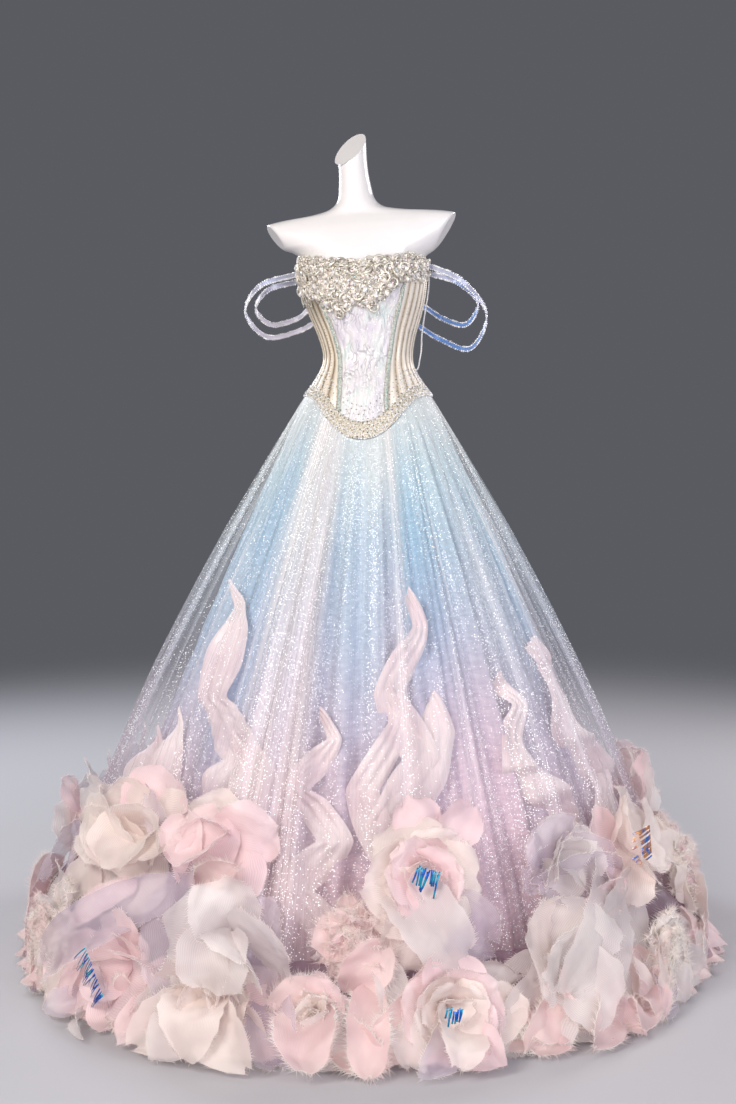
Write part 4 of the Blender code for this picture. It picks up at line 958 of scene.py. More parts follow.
for index, (top_deg, foot_deg, top_z, foot_z, width, swings, swing_deg) in enumerate(STRIPS + SHORT_STRIPS):
    name = f"organza_strip_{index + 1:02d}"
    t = np.linspace(0.0, 1.0, 140)
    z = mix(top_z, foot_z, t)
    sway = np.sin(math.tau * swings * t)
    swing = 1.3 * swing_deg * (0.9 * crisp(math.tau * swings * t) + 0.1 * sway)
    centre = np.radians(mix(top_deg, foot_deg, t) + swing)
    half = 0.6 * width * np.minimum(1.0, 0.06 + 3.0 * t) * (0.92 + 0.14 * np.cos(9.0 * t))
    base = skirt_point(INNER, centre, inner_down(z, centre), creased=0.0)
    side = np.linspace(-1.0, 1.0, 13)
    # in front the strips stand partly off the skirt, broadside on
    facing = np.where(np.abs(centre) < 1.5, mix(centre, 0.1, 0.5), centre)
    across = np.stack([np.cos(facing), np.sin(facing), 0 * centre], -1)
    # the strip folds over at each bend: its edge swings up and back
    twist = 0.85 * np.cos(math.tau * swings * t + 0.4)
    sideways = side[None, :] * (half * np.cos(0.3 * twist))[:, None]
    grid = base[:, None] + across[:, None] * sideways[..., None]
    hollow = 0.003 * np.cos(3 * math.pi * side)[None, :]
    lift = 0.024 + 0.010 * side[None, :] * np.sin(twist)[:, None] + hollow
    grid = grid + outward(centre)[:, None] * lift[..., None]
    grid[..., 2] += 0.014 * side[None, :] * np.cos(math.tau * swings * t)[:, None]
    length = float(np.linalg.norm(np.diff(grid[:, 6], axis=0), axis=1).sum())
    mesh = cloth_mesh(name, grid, size=(width, 0.05))
    strip = link_piece(name + "_cloth", mesh, strip_organza)
    if index < len(STRIPS):
        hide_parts(name)
    print(name, "length", round(length, 3), "area", round(area_of(mesh), 4))

# %% [markdown]
# ### Flounce
# The overlay ends in a flounce that carries the flowers. It stands in three tiers of gathered
# organza with raw edges. Each tier is a grid of points that waves in and out as it flares, the
# lowest tier longest.

# %% Flounce tiers


def flounce_grid(turns, falls, waves, amplitude, spread, top_down, foot_z, out, phase):
    """Points of one tier, hanging from the overlay at top_down and waving as it flares."""
    down = mix(top_down, 1.0, falls)
    grid = skirt_point(OVERLAY, turns, down, creased=0.6)
    swell = 0.65 + 0.35 * np.sin(7 * turns + phase) * np.sin(3 * turns)
    wave = amplitude * falls * swell * np.sin(waves * turns + 1.2 * np.sin(5 * turns + phase) + 0.8 * falls)
    grid = grid + outward(turns) * (out + spread * falls**0.8 + wave)[..., None]
    start = skirt_point(OVERLAY, turns, np.full_like(turns, top_down), creased=0.6)[..., 2]
    grid[..., 2] = mix(start, foot_z + 0.006 * (1 + np.sin(waves * turns / 3 + phase)), falls)
    return grid


FLOUNCE_COLUMNS = 1152
turns = np.linspace(-math.pi, math.pi, FLOUNCE_COLUMNS, endpoint=False)[None, :]
falls = np.linspace(0.0, 1.0, 12)[:, None]
TIERS = [
    (48, 0.016, 0.055, OVERLAY_END, 0.006, 0.000, 0.0, mauve_organza),
    (66, 0.014, 0.048, 0.915, 0.020, 0.010, 1.3, ORGANZAS["pink"]),
    (57, 0.018, 0.050, 0.950, 0.012, 0.016, 2.6, ORGANZAS["frayed"]),
]
for number, (waves, amplitude, spread, top_down, foot_z, out, phase, finish) in enumerate(TIERS):
    grid = flounce_grid(turns, falls, waves, amplitude, spread, top_down, foot_z, out, phase)
    mesh = cloth_mesh(f"flounce_tier_{number + 1}", grid, closed=True, size=(5.6, 0.16))
    tier = link_piece(f"flounce_tier_{number + 1}", mesh, finish)
    hem = np.concatenate([grid[-1], grid[-1, :1]])
    ways = np.concatenate([outward(turns[0]), outward(turns[0, :1])]) * 0.5 + np.array([0.0, 0.0, -0.8])
    fray(f"flounce_fray_{number + 1}", [hem], [ways], spacing=0.003, thread=0.008, seed=30 + number)
    print(tier.name, "area", round(area_of(mesh), 3))
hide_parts("flounce_front", "flounce_back")

# %% [markdown]
# ### Flowers
# A flower has two to four tiers of petals, by its kind: large sheer drapes, a bud, loose petals, a
# rose, or a ball of narrow frayed petals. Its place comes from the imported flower: the same few
# points are laid out again, turned the same way, and the difference between their lowest corner and
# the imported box's lowest corner is where the flower is.

# %% Where each flower is
# turn, height, radius, tip, petals, cup, colour of the outer petals, kind
FLOWERS = [
    (-42.0, 0.312, 0.105, 20.0, 5, 34.0, "cream", "drape"),
    (-21.0, 0.326, 0.088, 15.0, 5, 30.0, "pink", "drape"),
    (-52.0, 0.115, 0.098, 10.0, 6, 50.0, "white", "frayed"),
    (-33.0, 0.102, 0.09, 5.0, 5, 38.0, "pink", "drape"), (-15.5, 0.092, 0.09, 12.0, 5, 34.0, "cream", "bud"),
    (-13.0, 0.222, 0.088, -15.0, 5, 26.0, "white", "drape"),
    (-1.5, 0.08, 0.072, 12.0, 5, 52.0, "pink", "rose"), (4.0, 0.18, 0.072, 15.0, 5, 50.0, "frayed", "frayed"),
    (15.0, 0.29, 0.102, 10.0, 5, 36.0, "cream", "rose"), (17.0, 0.092, 0.092, 8.0, 5, 36.0, "pink", "rose"),
    (42.0, 0.29, 0.08, 10.0, 5, 34.0, "lilac", "loose"), (36.0, 0.125, 0.11, 12.0, 5, 30.0, "white", "drape"),
    (60.0, 0.275, 0.105, 15.0, 5, 36.0, "cream", "drape"),
    (59.0, 0.092, 0.092, 8.0, 6, 44.0, "white", "frayed"),
    (88.0, 0.16, 0.11, 12.0, 5, 36.0, "cream", "frayed"), (118.0, 0.2, 0.105, 12.0, 5, 38.0, "pink", "rose"),
    (150.0, 0.15, 0.11, 12.0, 5, 36.0, "white", "frayed"),
    (-176.0, 0.19, 0.108, 12.0, 5, 40.0, "cream", "rose"),
    (-140.0, 0.15, 0.11, 12.0, 5, 36.0, "pink", "loose"),
    (-107.0, 0.19, 0.105, 12.0, 5, 38.0, "white", "drape"),
]
PETAL_WALL = 0.0014
# length, more cup, curl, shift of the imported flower's two tiers, and its rings: tier, reach, side
PACKED_TIERS = [(0.72, 26.0, 0.05, 1), (1.00, -6.0, 0.10, 0)]
PACKED_RINGS = [
    (0, 1.00, 1), (0, 1.00, -1), (0, 0.14, -1), (1, 0.60, 1), (1, 1.00, 1), (1, 1.00, -1), (1, 0.60, -1),
]


def packed_flower(radius, petals, cup_deg):
    """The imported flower's points, round +Z."""
    column = np.arange(petals * 3)
    angle = math.tau * column / (petals * 3)
    found = [np.array([[0.0, 0.0, 0.10 * radius], [0.0, 0.0, -PETAL_WALL]])]
    for tier, reach, side in PACKED_RINGS:
        share, more_cup, curl_share, shift = PACKED_TIERS[tier]
        inside, number = (column + shift) % 3, (column + shift) // 3
        length = radius * share * np.where(inside > 0, 1.0, 1.0 - 0.24 * reach)
        length = length * (1.0 + 0.10 * np.sin(2.6 * number + 1.9 * radius * 100))
        rise = np.radians(cup_deg + more_cup + 5.0 * np.sin(1.7 * number))
        curl = radius * curl_share * reach**2 * np.where(inside == 1, 1.0, -0.6)
        radial = length * reach * np.cos(rise) - side * PETAL_WALL / 2 * np.sin(rise)
        height = length * reach * np.sin(rise) + curl + side * PETAL_WALL / 2 * np.cos(rise)
        found.append(np.stack([radial * np.cos(angle), radial * np.sin(angle), height], -1))
    return np.concatenate(found)


def flower_frame(index, flower):
    """The turn of a flower as a 3x3 matrix, and the place of its heart."""
    turn_deg, _, radius, tip_deg, petals, cup_deg = flower[:6]
    level = outward(math.radians(turn_deg))
    tip = math.radians(tip_deg)
    facing = Vector((level[0] * math.cos(tip), level[1] * math.cos(tip), math.sin(tip)))
    spin = Matrix.Rotation(math.radians(37.0 * index), 3, "Z")
    matrix = np.array(facing.to_track_quat("Z", "Y").to_matrix() @ spin)
    low = turned(packed_flower(radius, petals, cup_deg), matrix).min(0)
    return matrix, np.array(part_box(f"hem_flower_{index + 1:02d}")[0]) - low


# %% Petals round each heart


def spun(grid, angle, tip=0.0):
    """A petal swung round +Z to its own direction."""
    return turned(grid, Matrix.Rotation(angle, 3, "Z") @ Matrix.Rotation(tip, 3, "X"))


def crumple(grid, depth, seed):
    """Soft dents 40 to 70 mm apart, as organza keeps when it is bunched."""
    x, y, z = (grid[..., k] for k in range(3))
    a, b, c = 95.0 + 7 * (seed % 5), 120.0 - 9 * (seed % 4), 105.0 + 5 * (seed % 7)
    dents = (
        crisp(a * y + b * z + seed) + 0.6 * crisp(1.9 * a * z + seed),
        crisp(b * z + c * x + 2.0 * seed) + 0.6 * crisp(2.1 * b * x),
        crisp(c * x + a * y + 3.0 * seed) + 0.6 * crisp(1.7 * c * y + seed),
    )
    return grid + depth * np.stack(dents, -1)


def over_skirt(turn, z):
    """The overlay's points at each turn and height, and how far its flounce stands out there."""
    top = basque_z(turn)
    down = np.clip((top - z) / top, 0.0, 1.0)
    flare = 0.050 * np.clip((down - OVERLAY_END) / (1 - OVERLAY_END), 0.0, 1.0)
    return skirt_point(OVERLAY, turn, down, creased=0.5), flare


def settled(grid, heart, sag):
    """Cloth that sags with its distance from the heart, clear of the skirt and of the floor."""
    away = np.linalg.norm(grid - heart, axis=-1)
    x, y, z = grid[..., 0], grid[..., 1], grid[..., 2] - sag * away**2
    z = np.where(z < 0.030, 0.004 + 0.026 * np.exp(np.minimum(z - 0.030, 0.0) / 0.026), z)
    turn = np.arctan2(x, -y)
    skirt, flare = over_skirt(turn, z)
    least = np.hypot(skirt[..., 0], skirt[..., 1]) + flare + 0.004
    radius = np.hypot(x, y)
    pushed = least + 0.35 * np.maximum(radius - least, -0.03) + 0.0105
    radius = np.where(radius < least + 0.0162, np.maximum(pushed, radius), radius)
    # petals spread a little farther over the floor in front
    far = 0.675 + 0.070 * np.clip(2.2 * np.cos(turn) - 0.9, 0.0, 1.0)
    radius = np.where(radius > far, far + 0.045 * (1 - np.exp(-(radius - far) / 0.045)), radius)
    return np.stack([np.sin(turn) * radius, -np.cos(turn) * radius, z], -1)


# for each tier: petals; ranges of length and width (of the radius), rise beyond the cup, curl and
# cup; ripple, ripples, colours in turn (outer or inner), lift, and how far a petal tips over
PETAL_TIERS = {
    "drape": [
        (4, (1.05, 1.45), (1.3, 1.8), (-40, 0), (-30, 60), (-0.5, 0.6), 0.12, 0.9, "oio", 0.000, 0.9),
        (2, (0.85, 1.15), (1.2, 1.7), (5, 35), (-30, 60), (0.3, 0.8), 0.10, 1.0, "o", 0.006, 0.6),
    ],
    "bud": [
        (6, (1.05, 1.40), (1.2, 1.7), (-40, 0), (-20, 60), (-0.5, 0.6), 0.06, 1.1, "oio", 0.000, 0.6),
        (7, (0.85, 1.05), (1.1, 1.5), (20, 42), (-10, 30), (0.8, 0.8), 0.05, 1.2, "o", 0.006, 0.3),
    ],
    "loose": [
        (6, (1.05, 1.42), (1.25, 1.65), (-28, 16), (-10, 95), (-0.5, 0.6), 0.12, 1.3, "oio", 0.000, 0.8),
        (4, (0.75, 1.00), (0.9, 1.3), (12, 38), (40, 110), (0.85, 0.85), 0.06, 1.4, "i", 0.008, 0.4),
    ],
    "rose": [
        (6, (1.00, 1.24), (1.25, 1.5), (-22, 2), (10, 80), (-0.1, 0.35), 0.07, 1.6, "o", 0.000, 0.3),
        (5, (0.76, 0.94), (1.0, 1.2), (6, 24), (10, 60), (0.35, 0.35), 0.06, 1.7, "i", 0.006, 0.2),
        (4, (0.42, 0.66), (0.42, 0.74), (26, 40), (20, 70), (0.9, 0.9), 0.05, 1.3, "i", 0.010, 0.0),
    ],
    "frayed": [
        (16, (0.92, 1.18), (0.5, 0.55), (-24, -4), (-15, 60), (0.2, 0.3), 0.10, 2.6, "o", 0.000, 0.2),
        (14, (0.75, 0.95), (0.5, 0.55), (-2, 18), (-15, 60), (0.2, 0.3), 0.10, 2.6, "i", 0.003, 0.2),
        (11, (0.58, 0.74), (0.5, 0.55), (16, 36), (-15, 60), (0.2, 0.3), 0.10, 2.6, "o", 0.006, 0.2),
        (8, (0.42, 0.54), (0.5, 0.55), (34, 54), (-15, 60), (0.2, 0.3), 0.10, 2.6, "i", 0.009, 0.2),
    ],
}
# a point below 0 squares a petal off
POINTS = {
    "drape": (-1.0, -0.2), "bud": (-0.6, 0.2), "loose": (-0.9, 0.2), "rose": (-0.3, 0.3),
    "frayed": (0.0, 0.5),
}


def flower_grids(radius, cup_deg, kind, dice):
    """The petals of a flower, as (grid, outer or inner)."""
    grids = []
    for tier, (count, *spans, ripple, ripples, parts, lift, tip) in enumerate(PETAL_TIERS[kind]):
        for k in range(count):
            length, width, more, curl, cup = (dice.uniform(*span) for span in spans)
            grid = petal_grid(
                radius * length, radius * width, cup_deg + more, curl, cup, radius * ripple,
                ripples * dice.uniform(0.8, 1.25), dice.uniform(0, 6.2), dice.uniform(*POINTS[kind]),
            )
            grid = crumple(grid, radius * 0.022, dice.randrange(1, 60))
            grid[..., 2] += lift
            angle = math.tau * (k + 0.37 * tier + dice.uniform(-0.25, 0.25)) / count
            grids.append((spun(grid, angle, dice.uniform(-tip, tip)), parts[k % len(parts)]))
    return grids


PARTNERS = {"cream": "pink", "pink": "cream", "white": "cream", "lilac": "white", "frayed": "pink"}
for index, flower in enumerate(FLOWERS):
    turn_deg, _, radius, tip_deg, petals, cup_deg, colour, kind = flower
    dice = random.Random(100 + index)
    matrix, place = flower_frame(index, flower)
    looks = {"o": ORGANZAS[colour], "i": ORGANZAS[PARTNERS[colour]]}
    by_look, paths, ways = {}, [], []
    for grid, part in flower_grids(radius, cup_deg, kind, dice):
        grid = settled(turned(grid, matrix, place), place, 1.6)
        by_look.setdefault(part, []).append(cloth_mesh("petal", grid, size=(0.1, 0.1)))
        path, way = edge_paths(grid)
        paths.append(path)
        ways.append(way)
    name = f"hem_flower_{index + 1:02d}"
    pieces = [joined(f"{name}_petals_{part}", meshes, looks[part]) for part, meshes in by_look.items()]
    threads = RAGGED if kind == "frayed" else NEAT
    pieces.append(fray(name + "_fray", paths, ways, seed=index, **threads))
    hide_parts(name)
print("flowers:", len(FLOWERS))

# %% [markdown]
# ### Loose petals between the flowers
# Large single petals and leaves are sewn flat or half folded between the flowers and lie on each
# other like shingles. Each is laid from one place on the skirt to another, so a short table of
# turns and heights composes the front, and a seeded dice goes on round the sides and the back.

# %% Lay petals on the skirt
PETAL_LIFT = 0.012


def hem_place(turn_deg, z, out):
    """A point over the skirt at a turn and a height. A height below 0 lies that far out on the floor."""
    out, z, turn = out + max(-z, 0.0), max(z, 0.010), np.radians(turn_deg)
    point, flare = over_skirt(turn, z)
    return point + outward(turn) * (flare + out)


def laid_petal(root, tip, width, rise, curl, cup, dice, point):
    """A petal from its root to its tip, each a turn and a height, and how far it bends on the way."""
    start, end = hem_place(*root, PETAL_LIFT), hem_place(*tip, PETAL_LIFT + 0.01)
    ahead = end - start
    length = float(np.linalg.norm(ahead))
    ahead = ahead / length
    level = outward(math.radians((root[0] + tip[0]) / 2)) + np.array([0.0, 0.0, 0.2])
    out = level - ahead * float(level @ ahead)
    out /= np.linalg.norm(out)
    frame_axes = np.stack([ahead, np.cross(out, ahead), out], 1)
    grid = petal_grid(
        length * 1.12, width, rise, curl, cup, width * 0.10, dice.uniform(0.8, 1.5), dice.uniform(0, 6.2),
        point, rows=15, columns=15,
    )
    grid = crumple(grid, width * 0.018, dice.randrange(1, 60))
    return settled(turned(grid, frame_axes, start), start, 0.5)


# root turn and height, tip turn and height, width, rise, curl, cup, point, colour; heights and
# widths are in millimetres
FRONT_PETALS = [
    (-37, 249, -58, 364, 115, 25, 50, 0.5, 0.1, "cream"),
    (-38, 285, -57, 300, 110, 22, 40, 0.4, 0.2, "cream"), (-50, 330, -66, 350, 80, 30, 50, 0.3, 0.3, "white"),
    (-50, 221, -64, 164, 80, 22, 40, -0.3, -1.0, "cream"), (-38, 225, -50, 144, 55, 20, 30, 0.5, 0.4, "pink"),
    (-29, 271, -42, 386, 55, 12, 20, 0.3, 0.9, "lilac"), (-26, 250, -21, 375, 125, 22, 50, -0.4, 0.1, "pink"),
    (-27, 270, -28, 361, 100, 24, 40, 0.3, 0.2, "pink"), (-25, 243, -16, 295, 50, 20, 30, 0.6, 0.5, "frayed"),
    (-26, 240, -50, 105, 95, 34, 56, 0.5, -0.6, "lilac"),
    (-17, 262, -18, 85, 110, 12, 24, 0.3, -0.5, "white"),
    (-12, 240, -10, 100, 95, 10, 20, 0.4, -0.5, "lilac"), (-32, 115, -43, 40, 100, 22, 40, 0.5, 0.2, "pink"),
    (-30, 45, -23, 135, 60, 22, 40, 0.4, 0.6, "pink"), (-25, 80, -27, -30, 70, 18, 30, 0.4, 0.4, "pink"),
    (-39, 36, -44, -60, 60, 14, 20, 0.4, 0.6, "lilac"), (-38, 20, -32, -130, 45, 8, 10, 0.6, 0.7, "white"),
    (-16, 100, -16, -90, 120, 34, 60, 0.4, 0.2, "cream"), (-16, 90, -25, -20, 110, 34, 60, 0.3, 0.2, "cream"),
    (-16, 90, -8, -30, 110, 34, 60, 0.4, 0.2, "cream"), (-17, 80, -21, -80, 90, 20, 40, 0.3, 0.3, "white"),
    (-8, 110, -5, -10, 90, 26, 50, 0.3, 0.3, "lilac"), (0, 155, 2, 210, 80, 24, 50, 0.5, 0.3, "frayed"),
    (3, 100, 8, 180, 80, 24, 50, 0.4, 0.2, "frayed"), (-1, 100, -7, 90, 90, 26, 50, 0.4, 0.2, "frayed"),
    (2, 50, 8, 10, 80, 28, 50, 0.4, 0.2, "frayed"), (-2, 80, -1, -60, 100, 30, 50, 0.5, 0.1, "frayed"),
    (8, 165, 12, 30, 60, 10, 20, 0.5, -0.6, "white"), (6, 120, 6, -20, 70, 16, 30, 0.4, 0.4, "frayed"),
    (17, 118, 28, 124, 60, 16, 30, 0.4, 0.5, "white"), (17, 323, 13, 403, 90, 20, 40, -0.3, 0.2, "pink"),
    (19, 322, 25, 380, 80, 20, 40, 0.4, 0.3, "pink"), (16, 250, 7, 245, 120, 28, 60, 0.3, 0.2, "cream"),
    (16, 240, 25, 170, 120, 20, 40, 0.4, 0.3, "lilac"), (16, 240, 10, 160, 110, 24, 60, 0.3, 0.2, "cream"),
    (18, 60, 12, -60, 70, 16, 30, 0.4, 0.5, "lilac"), (18, 60, 16, -80, 85, 28, 40, 0.4, 0.3, "cream"),
    (19, 60, 27, 90, 100, 30, 50, 0.3, 0.3, "cream"), (18, 50, 23, -40, 85, 28, 40, 0.4, 0.3, "pink"),
    (17, 100, 12, 130, 80, 30, 60, 0.3, 0.3, "pink"), (57, 215, 36, 275, 100, 18, 30, 0.9, 0.2, "lilac"),
    (54, 205, 42, 220, 60, 26, 40, 1.0, 0.3, "pink"), (60, 205, 42, 130, 150, 14, 30, 0.3, -0.5, "white"),
    (54, 180, 34, 85, 150, 14, 40, -0.2, -0.5, "cream"), (42, 130, 25, 45, 140, 14, 40, 0.3, 0.2, "white"),
    (34, 62, 28, 12, 90, 26, 60, 0.4, 0.1, "frayed"), (41, 49, 36, -50, 95, 28, 60, 0.4, 0.1, "frayed"),
    (46, 35, 44, -85, 95, 28, 50, 0.4, 0.1, "frayed"), (50, 50, 50, -50, 80, 26, 50, 0.4, 0.1, "frayed"),
    (56, 105, 52, -30, 85, 10, 18, 0.2, -0.8, "lilac"), (60, 70, 72, -45, 85, 18, 20, 0.3, 0.2, "white"),
    (57, 50, 61, -70, 80, 20, 20, 0.3, 0.2, "white"), (64, 90, 76, 20, 75, 24, 30, 0.3, 0.2, "white"),
    (68, 192, 65, 324, 90, 24, 50, -0.3, 0.2, "cream"), (63, 222, 73, 330, 80, 24, 50, 0.4, 0.2, "cream"),
    (67, 129, 70, 60, 55, 20, 30, 0.3, 0.3, "white"), (-30, 260, -19, 120, 130, 30, 50, 0.2, -0.9, "lilac"),
    (-20, 205, -12, 60, 120, 32, 50, 0.2, -0.9, "white"), (9, 300, 20, 160, 110, 34, 60, 0.3, -0.7, "white"),
    (52, 240, 34, 110, 140, 34, 60, 0.2, -0.8, "white"), (77, 235, 84, 200, 70, 34, 50, 0.3, 0.1, "cream"),
    (-58, 90, -66, 60, 90, 34, 60, 0.4, 0.2, "white"), (-58, 150, -66, 180, 90, 34, 60, 0.4, 0.2, "white"),
    (-40, 60, -46, 12, 90, 26, 50, 0.4, 0.2, "cream"),
]
dice = random.Random(7)
laid = [
    (laid_petal((t0, z0 / 1000), (t1, z1 / 1000), width / 1000, rise, curl, cup, dice, point), colour)
    for t0, z0, t1, z1, width, rise, curl, cup, point, colour in FRONT_PETALS
]
# round the sides and the back: two high petals and three low ones every 8.6 degrees
for step in range(24):
    middle = 82.0 + 8.6 * step
    for z0, dz in ((0.27, 0.09), (0.22, -0.10), (0.15, 0.07), (0.11, -0.08), (0.07, -0.05)):
        root = (middle + dice.uniform(-5, 5), z0 + dice.uniform(-0.03, 0.03))
        tip = (
            root[0] + dice.choice((-1, 1)) * dice.uniform(2, 11),
            max(root[1] + dz * dice.uniform(0.6, 1.3), 0.012),
        )
        petal = laid_petal(
            root, tip, dice.uniform(0.09, 0.15), dice.uniform(10, 34), dice.uniform(20, 70),
            dice.uniform(-0.4, 0.6), dice, dice.uniform(0.1, 0.7),
        )
        laid.append((petal, dice.choice(("cream", "cream", "pink", "white", "lilac", "frayed"))))
# a low row all round hides where the flounce is sewn on
for step in range(60):
    root = (6.0 * step + dice.uniform(-3, 3), dice.uniform(0.05, 0.13))
    tip = (root[0] + dice.uniform(-9, 9), dice.uniform(0.010, 0.05))
    petal = laid_petal(
        root, tip, dice.uniform(0.08, 0.13), dice.uniform(12, 30), dice.uniform(20, 60), 0.4, dice, 0.2
    )
    laid.append((petal, dice.choice(("pink", "frayed", "cream", "white"))))
for colour, finish in ORGANZAS.items():
    chosen = [grid for grid, look in laid if look == colour]
    meshes = [cloth_mesh("petal", grid, size=(0.1, 0.1)) for grid in chosen]
    petals = joined(f"loose_petals_{colour}", meshes, finish)
    paths, ways = zip(*[edge_paths(grid) for grid in chosen])
    fringe = fray(f"loose_fray_{colour}", paths, ways, seed=70, **(RAGGED if colour == "frayed" else NEAT))
    print(colour, len(chosen), "petals,", len(fringe.data.polygons), "thread faces")

# %% [markdown]
# ### Tufts of film
# Four flowers hold a comb of stiff iridescent film strips, three blue and one copper, that change
# with the side they are seen from. Thin film on a coated plastic gives that, so the shader's own
# thin film is used over a blue or a copper base.

# %% Film strands


def film_finish(name, first, second):
    """Plastic film under a coat 0.4 thousandths of a millimetre thick, which sets its second colour."""
    material, tree, shader = new_finish(
        name, Roughness=0.12, Metallic=0.55, Thin_Film_Thickness=420.0, Thin_Film_IOR=1.45
    )
    change = node(tree, "ramp", node(tree, "noise", node(tree, "place"), 60.0, 1.0), 0.4, 0.6)
    drive(tree, shader, Base_Color=node(tree, "mix", change, dye(first), dye(second)))
    return material


blue_film = film_finish("iridescent blue film", "#0F5FC4", "#1FA6C9")
copper_film = film_finish("iridescent copper film", "#E0A070", "#4C86D8")
# strips, length, lean of the comb in degrees, film
TUFTS = [
    (26, 0.066, 60.0, blue_film), (12, 0.044, 20.0, blue_film), (8, 0.034, 10.0, blue_film),
    (18, 0.056, 80.0, copper_film),
]
for number, (strips, length, lean_deg, film) in enumerate(TUFTS):
    name = f"film_tuft_{number + 1}"
    low, high = (np.array(c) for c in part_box(name))
    middle = (low + high) / 2
    level = outward(math.atan2(middle[0], -middle[1]))
    side = np.array([-level[1], level[0], 0.0])
    up = np.array([0.0, 0.0, 1.0])
    lean = math.radians(lean_deg)
    along_comb = side * math.cos(lean) - up * math.sin(lean)
    down_strip = -side * math.sin(lean) * 0.6 - up * math.cos(lean) - level * 0.15
    down_strip /= np.linalg.norm(down_strip)
    dice = random.Random(40 + number)
    meshes = []
    for k in range(strips):
        start = middle + along_comb * (k - strips / 2) * 0.0036 + level * 0.022 + up * 0.008 * dice.random()
        reach = length * dice.uniform(0.55, 1.0)
        drift = along_comb * dice.uniform(-0.16, 0.16)
        rows = []
        for t in (0.0, 0.3, 0.65, 1.0):
            point = start + (down_strip + drift) * reach * t + level * 0.18 * reach * (t - t * t)
            rows.append([point + along_comb * s * 0.0014 + level * s * 0.0006 for s in (-1.0, 0.0, 1.0)])
        meshes.append(cloth_mesh("strip", np.array(rows), size=(0.003, reach)))
    tuft = joined(name + "_strips", meshes, film)
    thicken(tuft, 0.0002)
    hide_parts(name)

# %% [markdown]
# ## Bodice
# The corset is seven panels. The centre front is crumpled iridescent silk, and the others are
# champagne satin with stitched bone channels. Each panel is a grid between its two seam lines, a
# little finer than the stitching, and a Solidify wall keeps it 2 mm thick.

# %% Panel shapes
SEAMS = np.array([
    (1.030, 15.0, 155.0), (1.140, 22.0, 152.0), (1.216, 34.0, 150.0),
    (1.280, 37.5, 146.0), (1.335, 42.0, 142.0), (1.420, 49.0, 140.0),
])


def seam(column, side):
    return lambda z: np.radians(side * along(SEAMS, column, z))


def fixed(deg):
    return lambda z: np.full_like(np.asarray(z, float), math.radians(deg))


def panel_place(edges, share, down):
    """(turn, z) of points on a panel, at a share across and down it."""
    share, down = np.broadcast_arrays(share, down)
    z = mix(NECK_HIGH, BASQUE_HIGH, down)
    for _ in range(8):
        turn = mix(edges[0](z), edges[1](z), share)
        z = mix(neckline_z(turn), basque_z(turn), down)
    return turn, z


SEAM_GAP, PANEL_ROWS = 0.0003, 110


def panel_grid(edges, relief, columns):
    """A panel's outside: relief(share, down, z) gives how far each point stands out."""
    share = np.linspace(0.0, 1.0, columns)[None, :]
    down = np.linspace(0.0, 1.0, PANEL_ROWS)[:, None]
    turn, z = panel_place(edges, share, down)
    inset = SEAM_GAP / 2 / 0.1 * np.sign(edges[1](z) - edges[0](z)) * (1 - 2 * share)
    return ring(BODICE, turn + inset, z, relief(share + 0 * down, down + 0 * share, z))


FRONT_BONES, BACK_BONES, BONE_RELIEF = 6, 4, 0.0014


def boned(bones):
    """Channels stand up round, with a stitched valley on either side."""

    def relief(share, down, z):
        ridge = np.sin(math.pi * bones * share) ** 2
        puckers = 0.00012 * np.sin(520 * z + 9 * share) * (1 - ridge)
        return BONE_RELIEF * ridge**0.8 + puckers

    return relief


def crumpled(share, down, z):
    """Soft vertical creases that wander and fork, none deeper than 2 mm."""
    x = (share - 0.5) * 2
    wander = 0.9 * np.sin(9 * down + 2 * x) + 0.5 * np.sin(21 * down + 1.0)
    creases = np.sin(15 * x + 1.6 * wander) + 0.6 * np.sin(27 * x - 2.2 * wander + 11 * down)
    knots = np.sin(34 * down + 5 * x) * np.sin(12 * x + 13 * down)
    edge = np.clip(4 * (1 - np.abs(x)), 0, 1)
    return 0.0006 * creases * edge + 0.0005 * knots * edge + 0.0002


# %% Bodice finishes
crumpled_silk, tree, shader = new_finish(
    "crumpled iridescent silk", Roughness=0.34, Sheen_Weight=0.25, Sheen_Roughness=0.3, Coat_Weight=0.10,
    Emission_Color=dye("#FFFFFF"),
)
place = node(tree, "place")
# the shot silk changes from lilac to mint every 30 mm or so, more often across than down
wash = node(tree, "noise", node(tree, "stretch", place, (40.0, 40.0, 13.0)), 1.0, 3.0, 0.5, 0.6)
shot = add(tree, "ShaderNodeValToRGB", {"Fac": wash})
set_stops(
    shot, [(0.3, "#D3CDD8"), (0.42, "#DEDBE0"), (0.52, "#E4E2E0"), (0.62, "#D9DFDE"), (0.72, "#CDDAD6")]
)
# creases part the silk into slivers about 12 mm wide, which lean one way and the other; painted shade draws
# the creases as grey lines, stronger on some than on others
lean = node(tree, "noise", place, 30.0, 2.0)
drift = add(tree, "ShaderNodeTexNoise", {"Vector": place, "Scale": 26.0}).outputs["Color"]
bent = node(tree, "stretch", node(tree, "mix", 0.030, place, drift), (120.0, 120.0, 27.0))
slivers = add(
    tree, "ShaderNodeTexVoronoi", {"Vector": bent, "Scale": 1.0}, feature="DISTANCE_TO_EDGE"
).outputs["Distance"]
line = node(
    tree, "MULTIPLY", node(tree, "ramp", slivers, 0.0, 0.09, 1.0, 0.0),
    node(tree, "ramp", lean, 0.40, 0.60, 0.0, 0.8),
)
shaded = node(tree, "mix", line, shot.outputs["Color"], dye("#9C98A2"))
glitter(tree, shader, shaded, glitter_mask(tree, FLECK, 0.07), 0.25)
drive(tree, shader, Normal=node(tree, "bumps", node(tree, "ramp", slivers, 0.0, 0.3), 0.45, 0.002))


